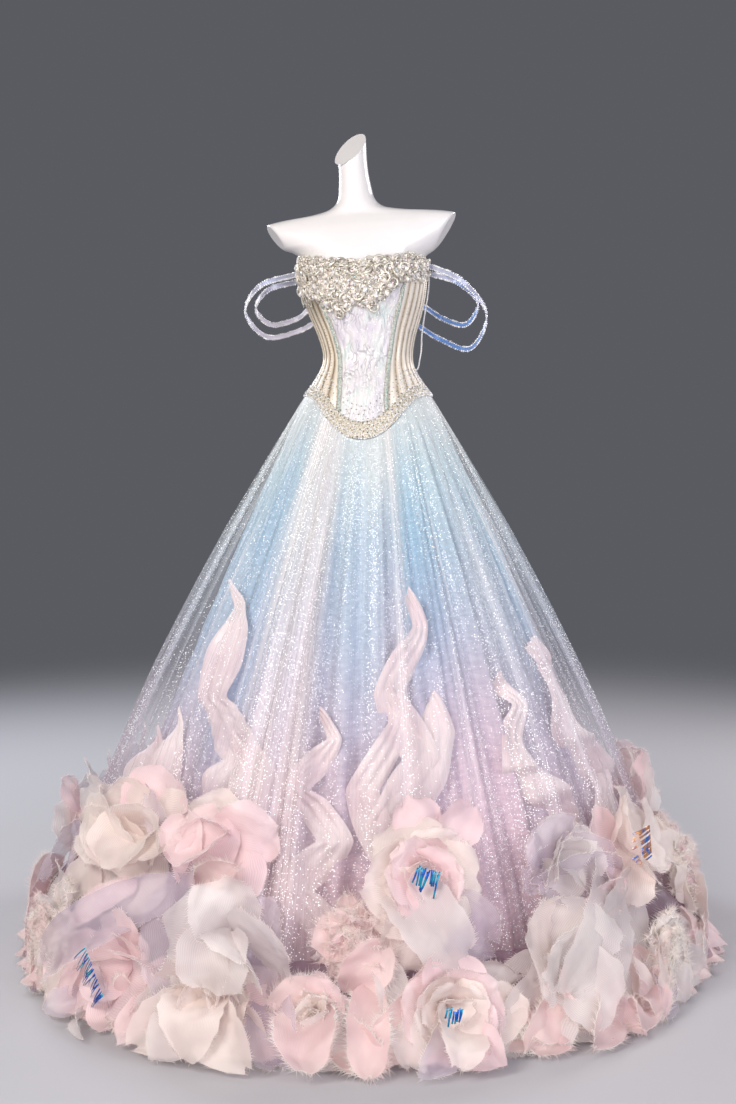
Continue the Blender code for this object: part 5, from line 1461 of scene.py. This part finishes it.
def champagne_satin(name, valley, middle, crest, underarm_shade):
    """Boned satin: painted shade darkens the stitched valleys, and a painted highlight runs bright down the
    crest of each channel.
    """
    material, tree, shader = new_finish(name, Roughness=0.36, Sheen_Weight=0.2, Metallic=0.10)
    height = node(tree, "stored number", attribute_name="ridge")
    place = node(tree, "place")
    tone = node(tree, "mix", node(tree, "ramp", height, 0.05, 0.45), dye(valley), dye(middle))
    tone = node(tree, "mix", node(tree, "ramp", height, 0.55, 0.95), tone, dye(crest))
    # satin floats are 0.2 mm; they are drawn 1.5 mm apart and long down the cloth, with their sheen painted
    # as pale streaks
    floats = node(tree, "noise", node(tree, "stretch", place, (420.0, 420.0, 60.0)), 1.0)
    tone = node(tree, "mix", node(tree, "ramp", floats, 0.4, 0.7, 0.0, 0.25), tone, dye("#FBF4EA"))
    # painted shade: the right side darkens towards the underarm, and clears again behind it
    split = add(tree, "ShaderNodeSeparateXYZ", {"Vector": place})
    shade = node(tree, "ramp", split.outputs["Y"], -0.03, 0.05, underarm_shade, 0.0)
    shade = node(tree, "ramp", split.outputs["Z"], 1.25, 1.36, 0.0, shade)
    drive(tree, shader, Base_Color=node(tree, "mix", shade, tone, dye("#57503F"), blend_type="MULTIPLY"))
    drive(tree, shader, Normal=node(tree, "bumps", floats, 0.25, 0.0006))
    return material


satin_left = champagne_satin("champagne boned satin", "#C9B8A0", "#E9DDCC", "#F7F0E4", 0.05)
satin_right = champagne_satin("bronze boned satin", "#A8967B", "#E2D3BB", "#F6EDDC", 0.95)

# %% Make the panels
mesh = cloth_mesh("bodice_front_centre", panel_grid((seam(1, -1), seam(1, 1)), crumpled, 96))
centre_front = thicken(link_piece("bodice_front_centre", mesh, crumpled_silk), BODICE_WALL)
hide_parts("bodice_center_front")
PANELS = []
for side, word, satin in ((1, "left", satin_left), (-1, "right", satin_right)):
    PANELS += [
        (f"bodice_side_front_{word}", (seam(1, side), fixed(side * 90.0)), FRONT_BONES, satin),
        (f"bodice_side_back_{word}", (fixed(side * 90.0), seam(2, side)), BACK_BONES, satin),
        (f"bodice_back_{word}", (seam(2, side), fixed(side * 180.0)), BACK_BONES, satin),
    ]
for name, edges, bones, satin in PANELS:
    if name.endswith("right"):
        edges = (edges[1], edges[0])
    grid = panel_grid(edges, boned(bones), 14 * bones + 1)
    mesh = cloth_mesh(name + "_satin", grid)
    share = np.linspace(0.0, 1.0, grid.shape[1])[None, :] + np.zeros((grid.shape[0], 1))
    paint(mesh, "ridge", np.sin(math.pi * bones * share) ** 2)
    panel = thicken(link_piece(name + "_satin", mesh, satin), BODICE_WALL)
    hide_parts(name)
print("panels:", len(PANELS) + 1)

# %% [markdown]
# ## Beads
# Rows of beads follow seams, channels, the basque line and the straps. A Geometry Nodes tree walks
# a path, drops a small sphere every few millimetres and varies its size, so a row is one line of
# points and a spacing.

# %% Bead finishes and the tree that strings them


def bead_finish(name, colour, other, metallic, roughness):
    """Cut beads: two tones from bead to bead, bright highlights."""
    material, tree, shader = new_finish(name, Metallic=metallic, Roughness=roughness, Coat_Weight=0.4)
    chance, _ = cells(tree, node(tree, "place"), 230.0)
    drive(
        tree, shader,
        Base_Color=node(tree, "mix", node(tree, "ramp", chance, 0.35, 0.65), dye(colour), dye(other)),
    )
    return material


silver_beads = bead_finish("silver lined seed beads", "#EFEBE2", "#C9C2B2", 0.55, 0.2)
dark_beads = bead_finish("smoked seed beads", "#7D7460", "#A89C82", 0.5, 0.25)
smoked_beads = bead_finish("green black beads", "#4F5347", "#8B8974", 0.4, 0.25)
mint_beads = bead_finish("mint crystal beads", "#CDE6DE", "#A3C2BB", 0.25, 0.12)
pearl_beads = bead_finish("cream pearls", "#F6F1EA", "#E4DAD2", 0.0, 0.18)
gold_beads = bead_finish("pale gold beads", "#F2E2BE", "#CDB88E", 0.6, 0.25)
white_beads = bead_finish("white cut beads", "#FBFAF8", "#E6EAF0", 0.1, 0.15)

tree, given = new_tree(
    "beads on a path", Spacing=0.004, Radius=0.0016, Vary=0.2, Rounds=1, Seed=1, Finish=None
)
bead = add(tree, "GeometryNodeMeshIcoSphere", {"Radius": given["Radius"], "Subdivisions": given["Rounds"]})
least, most = (node(tree, operation, 1.0, given["Vary"]) for operation in ("SUBTRACT", "ADD"))
size = node(tree, "random number", least, most, given["Seed"])
strung = add(
    tree, "GeometryNodeInstanceOnPoints",
    {"Points": even_curve(tree, given), "Instance": bead.outputs[0], "Scale": size},
)
beads_on_path = finish_tree(tree, given, strung.outputs[0])


def string_beads(name, paths, finish, spacing, radius, vary, seed, rounds=1):
    """A row of beads along each path. A bead has 20 faces, or 80 with two rounds."""
    piece = grow(
        name, beads_on_path, lines_mesh(name, paths), spacing=spacing, radius=radius, vary=vary,
        rounds=rounds, seed=seed, finish=finish,
    )
    return piece


# %% Rows of beads in the stitched valleys
valley_paths, crest_paths = [], []
for name, edges, bones, _ in PANELS:
    for k in range(bones + 1):
        share = np.clip(k / bones, 0.012, 0.988)
        down = np.linspace(0.02, 0.97, 60)
        turn, z = panel_place(edges, np.full_like(down, share), down)
        valley_paths.append(ring(BODICE, turn, z, 0.0006))
    if "front" in name:
        for k in range(bones):
            down = np.linspace(0.30, 0.93, 46)
            turn, z = panel_place(edges, np.full_like(down, (k + 0.5) / bones), down)
            crest_paths.append(ring(BODICE, turn, z, BONE_RELIEF + 0.0003))
string_beads("channel_beads", valley_paths, dark_beads, 0.0042, 0.00115, 0.35, 3)
string_beads("crest_beads", crest_paths[1::2], gold_beads, 0.0062, 0.0009, 0.3, 4)

# %% [markdown]
# ### Trims, basque band and neckline
# Beadwork is sewn over the princess seams and along the basque line, and the neckline is encrusted
# with pearls, rings, sequins and loops of beads. Each keeps a thin base the shape of the packed
# trim, and the beadwork is grown over it.

# %% Trims over the princess seams
# turn, lower edge, thickness of the beadwork on the neckline
CRUST = np.array([
    (-80.0, 1.340, 0.007), (-50.0, 1.324, 0.010), (-22.0, 1.288, 0.012), (-4.0, 1.305, 0.011),
    (9.0, 1.300, 0.013), (24.0, 1.320, 0.012), (40.0, 1.350, 0.010), (80.0, 1.366, 0.007),
])
TRIM_LIFT = BONE_RELIEF + 0.0009


def beaded_net(name, dull, bright, gap):
    """Net covered in small beads 2 mm across. Each bead fades at its rim into the gap colour, which is partly
    the net between the beads and partly painted shade round each bead.
    """
    material, tree, shader = new_finish(name, Roughness=0.35, Metallic=0.2)
    chance, distance = cells(tree, node(tree, "place"), 480.0)
    tone = node(tree, "mix", chance, dye(dull), dye(bright))
    drive(
        tree, shader, Base_Color=node(tree, "mix", node(tree, "ramp", distance, 0.34, 0.66), tone, dye(gap))
    )
    drive(tree, shader, Normal=node(tree, "bumps", distance, 0.8, 0.0012, invert=True))
    return material


smoked_net = beaded_net("smoked silver net", "#C2BAA8", "#E9E4D7", "#857C68")
cream_net = beaded_net("cream beaded net", "#E0D9C9", "#F5F1E7", "#B3A993")
mint_net = beaded_net("mint beaded net", "#CBD2CA", "#EAECE6", "#A3A79C")


def band_depth(turn):
    return mix(0.020, 0.036, bell(np.degrees(turn), 0.0, 40.0))


for side, word in ((1, "left"), (-1, "right")):
    across = np.linspace(-1.0, 1.0, 7)[None, :]
    t = np.linspace(0.0, 1.0, 70)[:, None]
    z = np.full((70, 7), BASQUE_HIGH)
    for _ in range(8):
        turn = seam(1, side)(z) + 0.0045 / along(BODICE, 1, z) * across
        top = along(CRUST, 1, np.degrees(turn)) - TRIM_LIFT
        z = mix(top, basque_z(turn) + band_depth(turn) + TRIM_LIFT, t)
    swell = 0.0028 * np.sqrt(np.clip(1 - (0.92 * across) ** 2, 0, 1))
    grid = ring(BODICE, turn, z, TRIM_LIFT - 0.0012 + swell)
    base = thicken(link_piece(f"princess_trim_{word}_net", cloth_mesh("trim", grid), mint_net), 0.001)
    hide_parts(f"princess_trim_{word}")
    middle = grid[:, 3] + outward(turn[:, 3]) * 0.0006
    string_beads(f"princess_trim_{word}_mint", [middle], mint_beads, 0.0056, 0.0018, 0.25, 7)
    edges = [grid[:, k] + outward(turn[:, k]) * 0.0004 for k in (0, 6)]
    string_beads(f"princess_trim_{word}_edge", edges, silver_beads, 0.0032, 0.0013, 0.25, 8)

# %% Basque band
across = np.linspace(1.0, 0.0, 9)[:, None]
turns = np.linspace(-math.pi, math.pi, 360, endpoint=False)[None, :]
z = basque_z(turns) + band_depth(turns) * across
swell = 0.0024 * np.sqrt(np.clip(1 - ((across - 0.5) * 1.8) ** 2, 0.02, 1)) * (1 - 0.7 * across)
grid = ring(BODICE, turns, z, TRIM_LIFT + swell - 0.0006)
band = thicken(
    link_piece("basque_band_net", cloth_mesh("basque_band_net", grid, closed=True), cream_net), 0.0012
)
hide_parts("basque_band")
edge_rows = []
for row in (0.03, 0.30):
    path = ring(BODICE, turns[0], basque_z(turns[0]) + band_depth(turns[0]) * row, TRIM_LIFT + 0.0010)
    edge_rows.append(np.concatenate([path, path[:1]]))
string_beads("basque_edge_beads", edge_rows, white_beads, 0.0052, 0.0017, 0.4, 9)
basque_surface = cloth_mesh("basque_surface", grid, closed=True)
# beads thin out over the satin above the band
spray_out = np.linspace(0.0, 1.0, 9)[::-1, None]
spray_z = basque_z(turns) + band_depth(turns) + 0.034 * spray_out
spray_surface = cloth_mesh("spray_surface", ring(BODICE, turns, spray_z, BONE_RELIEF * 0.7), closed=True)

# %% Scatter trees for the encrustation


def scatter_tree(name, shape):
    """Things of one shape scattered over a surface, flat on it with a random spin and tilt."""
    tree, given = new_tree(name, Apart=0.004, Size=0.004, Tilt=0.4, Rounds=1, Seed=1, Finish=None)
    spots = add(tree, "GeometryNodeDistributePointsOnFaces", {
        "Mesh": given["Geometry"], "Distance Min": given["Apart"], "Density Max": 160000.0,
        "Seed": given["Seed"],
    }, distribute_method="POISSON")
    # every thing is 1 m across before it is scaled
    if shape == "pearl":
        thing = add(tree, "GeometryNodeMeshIcoSphere", {"Radius": 0.5, "Subdivisions": given["Rounds"]})
    elif shape == "sequin":
        cup = {"Vertices": 10, "Radius Top": 0.30, "Radius Bottom": 0.5, "Depth": 0.10}
        thing = add(tree, "GeometryNodeMeshCone", cup)
    else:
        loop = add(tree, "GeometryNodeCurvePrimitiveCircle", {"Resolution": 12, "Radius": 0.5}, mode="RADIUS")
        wire = add(tree, "GeometryNodeCurvePrimitiveCircle", {"Resolution": 5, "Radius": 0.13}, mode="RADIUS")
        thing = add(
            tree, "GeometryNodeCurveToMesh", {"Curve": loop.outputs[0], "Profile Curve": wire.outputs[0]}
        )
    tilt = node(tree, "random vector", (-1.0, -1.0, -3.1), (1.0, 1.0, 3.1), given["Seed"])
    scaled = add(tree, "ShaderNodeVectorMath", {0: tilt, "Scale": given["Tilt"]}, operation="SCALE")
    spin = add(tree, "FunctionNodeEulerToRotation", {0: scaled.outputs[0]})
    both = {"Rotation": spots.outputs["Rotation"], "Rotate By": spin.outputs[0]}
    turned_by = add(tree, "FunctionNodeRotateRotation", both, rotation_space="LOCAL")
    size = node(tree, "random number", 0.7, 1.25, given["Seed"])
    placed = add(tree, "GeometryNodeInstanceOnPoints", {
        "Points": spots.outputs["Points"], "Instance": thing.outputs[0], "Rotation": turned_by.outputs[0],
        "Scale": node(tree, "MULTIPLY", size, given["Size"]),
    })
    return finish_tree(tree, given, placed.outputs[0])


scatter = {shape: scatter_tree("scattered " + shape, shape) for shape in ("pearl", "sequin", "ring")}


def encrust(name, surface, shape, finish, apart, size, seed, tilt=0.3, rounds=1):
    """Things scattered over a copy of a surface, apart metres from each other, as one piece."""
    piece = grow(
        name, scatter[shape], surface.copy(), apart=apart, size=size, tilt=tilt, seed=seed,
        rounds=rounds, finish=finish,
    )
    print(name, len(piece.data.polygons))


# %% Beads over the basque
encrust("basque_pearls", basque_surface, "pearl", white_beads, 0.0075, 0.0044, 12)
encrust("basque_seed_beads", basque_surface, "pearl", silver_beads, 0.0036, 0.0024, 13)
encrust("basque_dark_beads", basque_surface, "pearl", smoked_beads, 0.0075, 0.0031, 14)
encrust("hip_beads", spray_surface, "pearl", white_beads, 0.0052, 0.0030, 15)
encrust("hip_dark_beads", spray_surface, "pearl", smoked_beads, 0.0090, 0.0026, 16)

# %% The encrusted neckline
deg = np.linspace(-80.0, 80.0, 200)[None, :]
turns = np.radians(deg)
t = np.linspace(0.0, 1.0, 34)[:, None]
knot_at = (deg + 80.0) / 160.0 * 28
rise = 0.012 * (0.35 + 0.65 * np.sin(math.pi * knot_at / 3) ** 2) * (1 - (deg / 80.0) ** 4)
top = neckline_z(turns) + rise
low = along(CRUST, 1, deg) + 0.004 * np.sin(math.pi * knot_at / 2) ** 2
z = mix(top, low, t)
lumps = 0.55 + 0.30 * np.cos(math.pi * knot_at) * np.cos(math.pi * 4 * t) + 0.15 * np.sin(
    2.3 * knot_at + 9 * t
)
edge = np.clip(np.minimum(t, 1 - t) * 8, 0.30, 1.0)
grid = ring(BODICE, turns, z, TRIM_LIFT + 0.0005 + 0.72 * along(CRUST, 2, deg) * lumps * edge)
crust_mesh = cloth_mesh("neckline_net", grid)
surface = crust_mesh.copy()
crust = thicken(link_piece("neckline_net", crust_mesh, smoked_net), 0.0015)
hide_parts("neckline_applique")
silver_wire, tree, shader = new_finish("silver bullion wire", Metallic=0.6, Roughness=0.32)
coil = add(
    tree, "ShaderNodeTexWave", {"Vector": node(tree, "place"), "Scale": 300.0, "Distortion": 3.0}
).outputs["Fac"]
drive(tree, shader, Base_Color=node(tree, "mix", coil, dye("#F4F0E6"), dye("#D2CBBA")))
sequin_film, tree, shader = new_finish("cup sequins", Metallic=0.55, Roughness=0.12, Coat_Weight=0.5)
chance, _ = cells(tree, node(tree, "place"), 150.0)
tones = add(tree, "ShaderNodeValToRGB", {"Fac": chance})
set_stops(tones, [(0.0, "#F6F3F0"), (0.35, "#EDE6DC"), (0.6, "#E9D5DC"), (0.8, "#C9BC9C"), (1.0, "#CFE3DD")])
drive(tree, shader, Base_Color=tones.outputs["Color"])
encrust("neckline_pearls", surface, "pearl", pearl_beads, 0.0170, 0.0086, 21, rounds=2)
encrust("neckline_small_pearls", surface, "pearl", pearl_beads, 0.0090, 0.0042, 28, rounds=2)
encrust("neckline_seed_beads", surface, "pearl", white_beads, 0.0042, 0.0026, 22)
encrust("neckline_sequins", surface, "sequin", sequin_film, 0.0080, 0.0080, 23, tilt=0.5)
encrust("neckline_paillettes", surface, "sequin", white_beads, 0.0230, 0.0120, 27, tilt=0.6)
encrust("neckline_rings", surface, "ring", silver_wire, 0.0190, 0.0190, 24, tilt=0.5)
encrust("neckline_small_rings", surface, "ring", silver_wire, 0.0130, 0.0095, 29, tilt=0.7)
encrust("neckline_dark_beads", surface, "pearl", smoked_beads, 0.0110, 0.0032, 25)

# %% Loops that stand over the neckline
arc_paths = []
# middle turn, half width in degrees, height
for centre_deg, width_deg, tall in (
    (-62, 9, 0.009), (-47, 8, 0.012), (-33, 8, 0.010), (-20, 8, 0.012), (-7, 7, 0.009), (8, 8, 0.011),
    (22, 8, 0.014), (36, 9, 0.020), (51, 8, 0.018), (64, 8, 0.013),
):
    for shrink in (1.0, 0.62):
        a = np.linspace(0.0, math.pi, 17)
        turn = np.radians(centre_deg - width_deg * shrink * np.cos(a))
        z = neckline_z(turn) - 0.002 + tall * shrink * np.sin(a)
        arc_paths.append(ring(BODICE, turn, z, TRIM_LIFT + 0.0045 * np.sin(a) + 0.002))
# rings hang from the lower edge under the right arm
for centre_deg, z, radius in (
    (-76, 1.336, 0.008), (-66, 1.326, 0.009), (-72, 1.350, 0.007), (-57, 1.318, 0.007), (-79, 1.322, 0.006),
):
    a = np.linspace(0.0, math.tau, 25)
    turn = math.radians(centre_deg) + radius / 0.13 * np.sin(a)
    arc_paths.append(ring(BODICE, turn, z + radius * np.cos(a), TRIM_LIFT + 0.004))
string_beads("neckline_loops", arc_paths, silver_beads, 0.0027, 0.0014, 0.2, 26)

# %% Back of the neckline
across = np.linspace(0.0, 1.0, 7)[:, None]
turns = np.radians(np.linspace(98.0, 262.0, 150))[None, :]
z = neckline_z(turns) - 0.022 * across
swell = 0.0028 * np.sqrt(np.clip(1 - ((across - 0.5) * 1.85) ** 2, 0.02, 1))
grid = ring(BODICE, turns, z, TRIM_LIFT + swell)
back_mesh = cloth_mesh("neckline_back_net", grid)
back_surface = back_mesh.copy()
back_trim = thicken(link_piece("neckline_back_net", back_mesh, cream_net), 0.0012)
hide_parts("neckline_trim_back")
encrust("neckline_back_pearls", back_surface, "pearl", pearl_beads, 0.0100, 0.0040, 31)
encrust("neckline_back_beads", back_surface, "pearl", silver_beads, 0.0042, 0.0026, 32)
encrust("neckline_back_sequins", back_surface, "sequin", sequin_film, 0.0110, 0.0052, 33)

# %% [markdown]
# ## Straps and the hanging strand
# Two narrow satin ribbons drop round each upper arm, edged with tiny beads. They follow the packed
# straps. The strand of white beads beside the bodice is sewn at both ends and hangs between them.

# %% Smooth paths


def smooth_path(stops, count):
    """Evenly counted points on a smooth curve through the stops."""
    stops = np.array(stops, float)
    found = []
    for k in range(count):
        at = (len(stops) - 1) * k / (count - 1)
        i = min(int(at), len(stops) - 2)
        t = at - i
        a, b = stops[max(i - 1, 0)], stops[i]
        c, d = stops[i + 1], stops[min(i + 2, len(stops) - 1)]
        twice = 2 * b + (c - a) * t + (2 * a - 5 * b + 4 * c - d) * t**2 + (3 * b - a - 3 * c + d) * t**3
        found.append(0.5 * twice)
    return np.array(found)


# %% Straps
# name, side, front turn, front z, reach, z at the reach, swing, lowest z, back turn, back z
STRAPS = [
    ("strap_outer_right", -1, 84.0, 1.384, 0.262, 1.31, 0.062, 1.264, 126.0, 1.298),
    ("strap_inner_right", -1, 87.0, 1.37, 0.24, 1.318, 0.04, 1.288, 114.0, 1.318),
    ("strap_outer_left", 1, 84.0, 1.396, 0.246, 1.3, 0.062, 1.236, 126.0, 1.284),
    ("strap_inner_left", 1, 86.3, 1.382, 0.228, 1.324, 0.04, 1.284, 114.0, 1.318),
]
STRAP_WIDTH = 0.009


def strap_path(side, front_deg, front_z, reach, out_z, swing, drop_z, back_deg, back_z):
    clear = BONE_RELIEF + 0.0013
    front = ring(BODICE, math.radians(side * front_deg), front_z, clear)
    back = ring(BODICE, math.radians(side * back_deg), back_z, clear + STRAP_WIDTH * 0.36 / 2)
    mid_x, low_x, rise_x = (
        mix(abs(front[0]), reach, 0.62), mix(abs(back[0]), reach, 0.78), mix(abs(back[0]), reach, 0.36),
    )
    stops = [
        front,
        front + np.array([side * 0.012, -0.002, -0.002]),
        (side * mid_x, -swing, mix(out_z, front_z, 0.60)),
        (side * reach, 0.015, out_z),
        (side * low_x, 0.015 + swing, drop_z),
        (side * rise_x, 0.040 + swing, mix(drop_z, back_z, 0.45)),
        back + np.array([side * 0.010, 0.008, 0.0]),
        back,
    ]
    return smooth_path(stops, 110)


def ribbon(name, front, back):
    """Satin ribbon that is one colour from the front of the bodice and another behind."""
    material, tree, shader = new_finish(name, Roughness=0.3, Sheen_Weight=0.4, Metallic=0.15)
    flat = node(tree, "cloth")
    change = node(
        tree, "ramp", node(tree, "noise", node(tree, "stretch", flat, (60.0, 14.0, 1.0)), 1.0), 0.35, 0.65,
        0.0, 0.3,
    )
    from_back = add(tree, "ShaderNodeSeparateXYZ", {"Vector": flat}).outputs["Y"]
    tone = node(tree, "mix", node(tree, "ramp", from_back, 0.20, 0.28), dye(back), dye(front))
    drive(tree, shader, Base_Color=node(tree, "mix", change, tone, dye("#8C93B4")))
    ribs = add(
        tree, "ShaderNodeTexWave", {"Vector": flat, "Scale": 210.0}, bands_direction="Y"
    ).outputs["Fac"]
    drive(tree, shader, Normal=node(tree, "bumps", ribs, 0.2, 0.0004))
    return material


ribbons = {
    -1: ribbon("lilac satin ribbon", "#B4B8CC", "#DDD8E6"),
    1: ribbon("blue satin ribbon", "#B9C0D8", "#5C8CCF"),
}
for name, side, *route in STRAPS:
    path = strap_path(side, *route)
    ahead = np.gradient(path, axis=0)
    ahead /= np.linalg.norm(ahead, axis=1, keepdims=True)
    across = np.array([0.0, 0.0, 1.0]) - ahead * ahead[:, 2:3]
    across /= np.linalg.norm(across, axis=1, keepdims=True)
    offsets = np.linspace(STRAP_WIDTH / 2, -STRAP_WIDTH / 2, 7)
    grid = path[:, None] + across[:, None] * offsets[None, :, None]
    length = float(np.linalg.norm(np.diff(path, axis=0), axis=1).sum())
    mesh = cloth_mesh(name + "_ribbon", grid, size=(STRAP_WIDTH, length))
    strap = thicken(link_piece(name + "_ribbon", mesh, ribbons[side]), 0.0012, 0.0)
    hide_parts(name)
    edges = [path + across * STRAP_WIDTH / 2, path - across * STRAP_WIDTH / 2]
    string_beads(name + "_beads", edges, white_beads, 0.0052, 0.0020, 0.4, 50 + side)
    print(name, "length", round(length, 3))

# %% Hanging bead strand
# turn, z, distance off the body
STRAND_ROUTE = [
    (91.5, 1.384, 0.0001), (91.5, 1.372, 0.003), (92.0, 1.34, 0.003), (93.0, 1.3, 0.005), (94.0, 1.26, 0.011),
    (95.0, 1.225, 0.016), (95.0, 1.203, 0.012), (95.0, 1.19, 0.006), (95.0, 1.186, 0.0008),
]
stops = [ring(BODICE, math.radians(a), h, BONE_RELIEF + off + 0.0006) for a, h, off in STRAND_ROUTE]
route = smooth_path(stops, 60)
strand = string_beads("bead_strand_beads", [route], white_beads, 0.0036, 0.0019, 0.06, 60, rounds=2)
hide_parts("bead_strand")

# %% [markdown]
# ## Finish
# Every piece rides on the one body.

# %% Ride, measure and finish
LARGE_PIECE = 120_000

for piece in root_pieces:
    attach(piece, "root")
triangles = 0
for piece in root_pieces:
    count = sum(len(p.vertices) - 2 for p in piece.data.polygons)
    triangles += count
    if count > LARGE_PIECE:
        print("large:", piece.name, count)
print("pieces:", len(root_pieces), "triangles:", triangles)
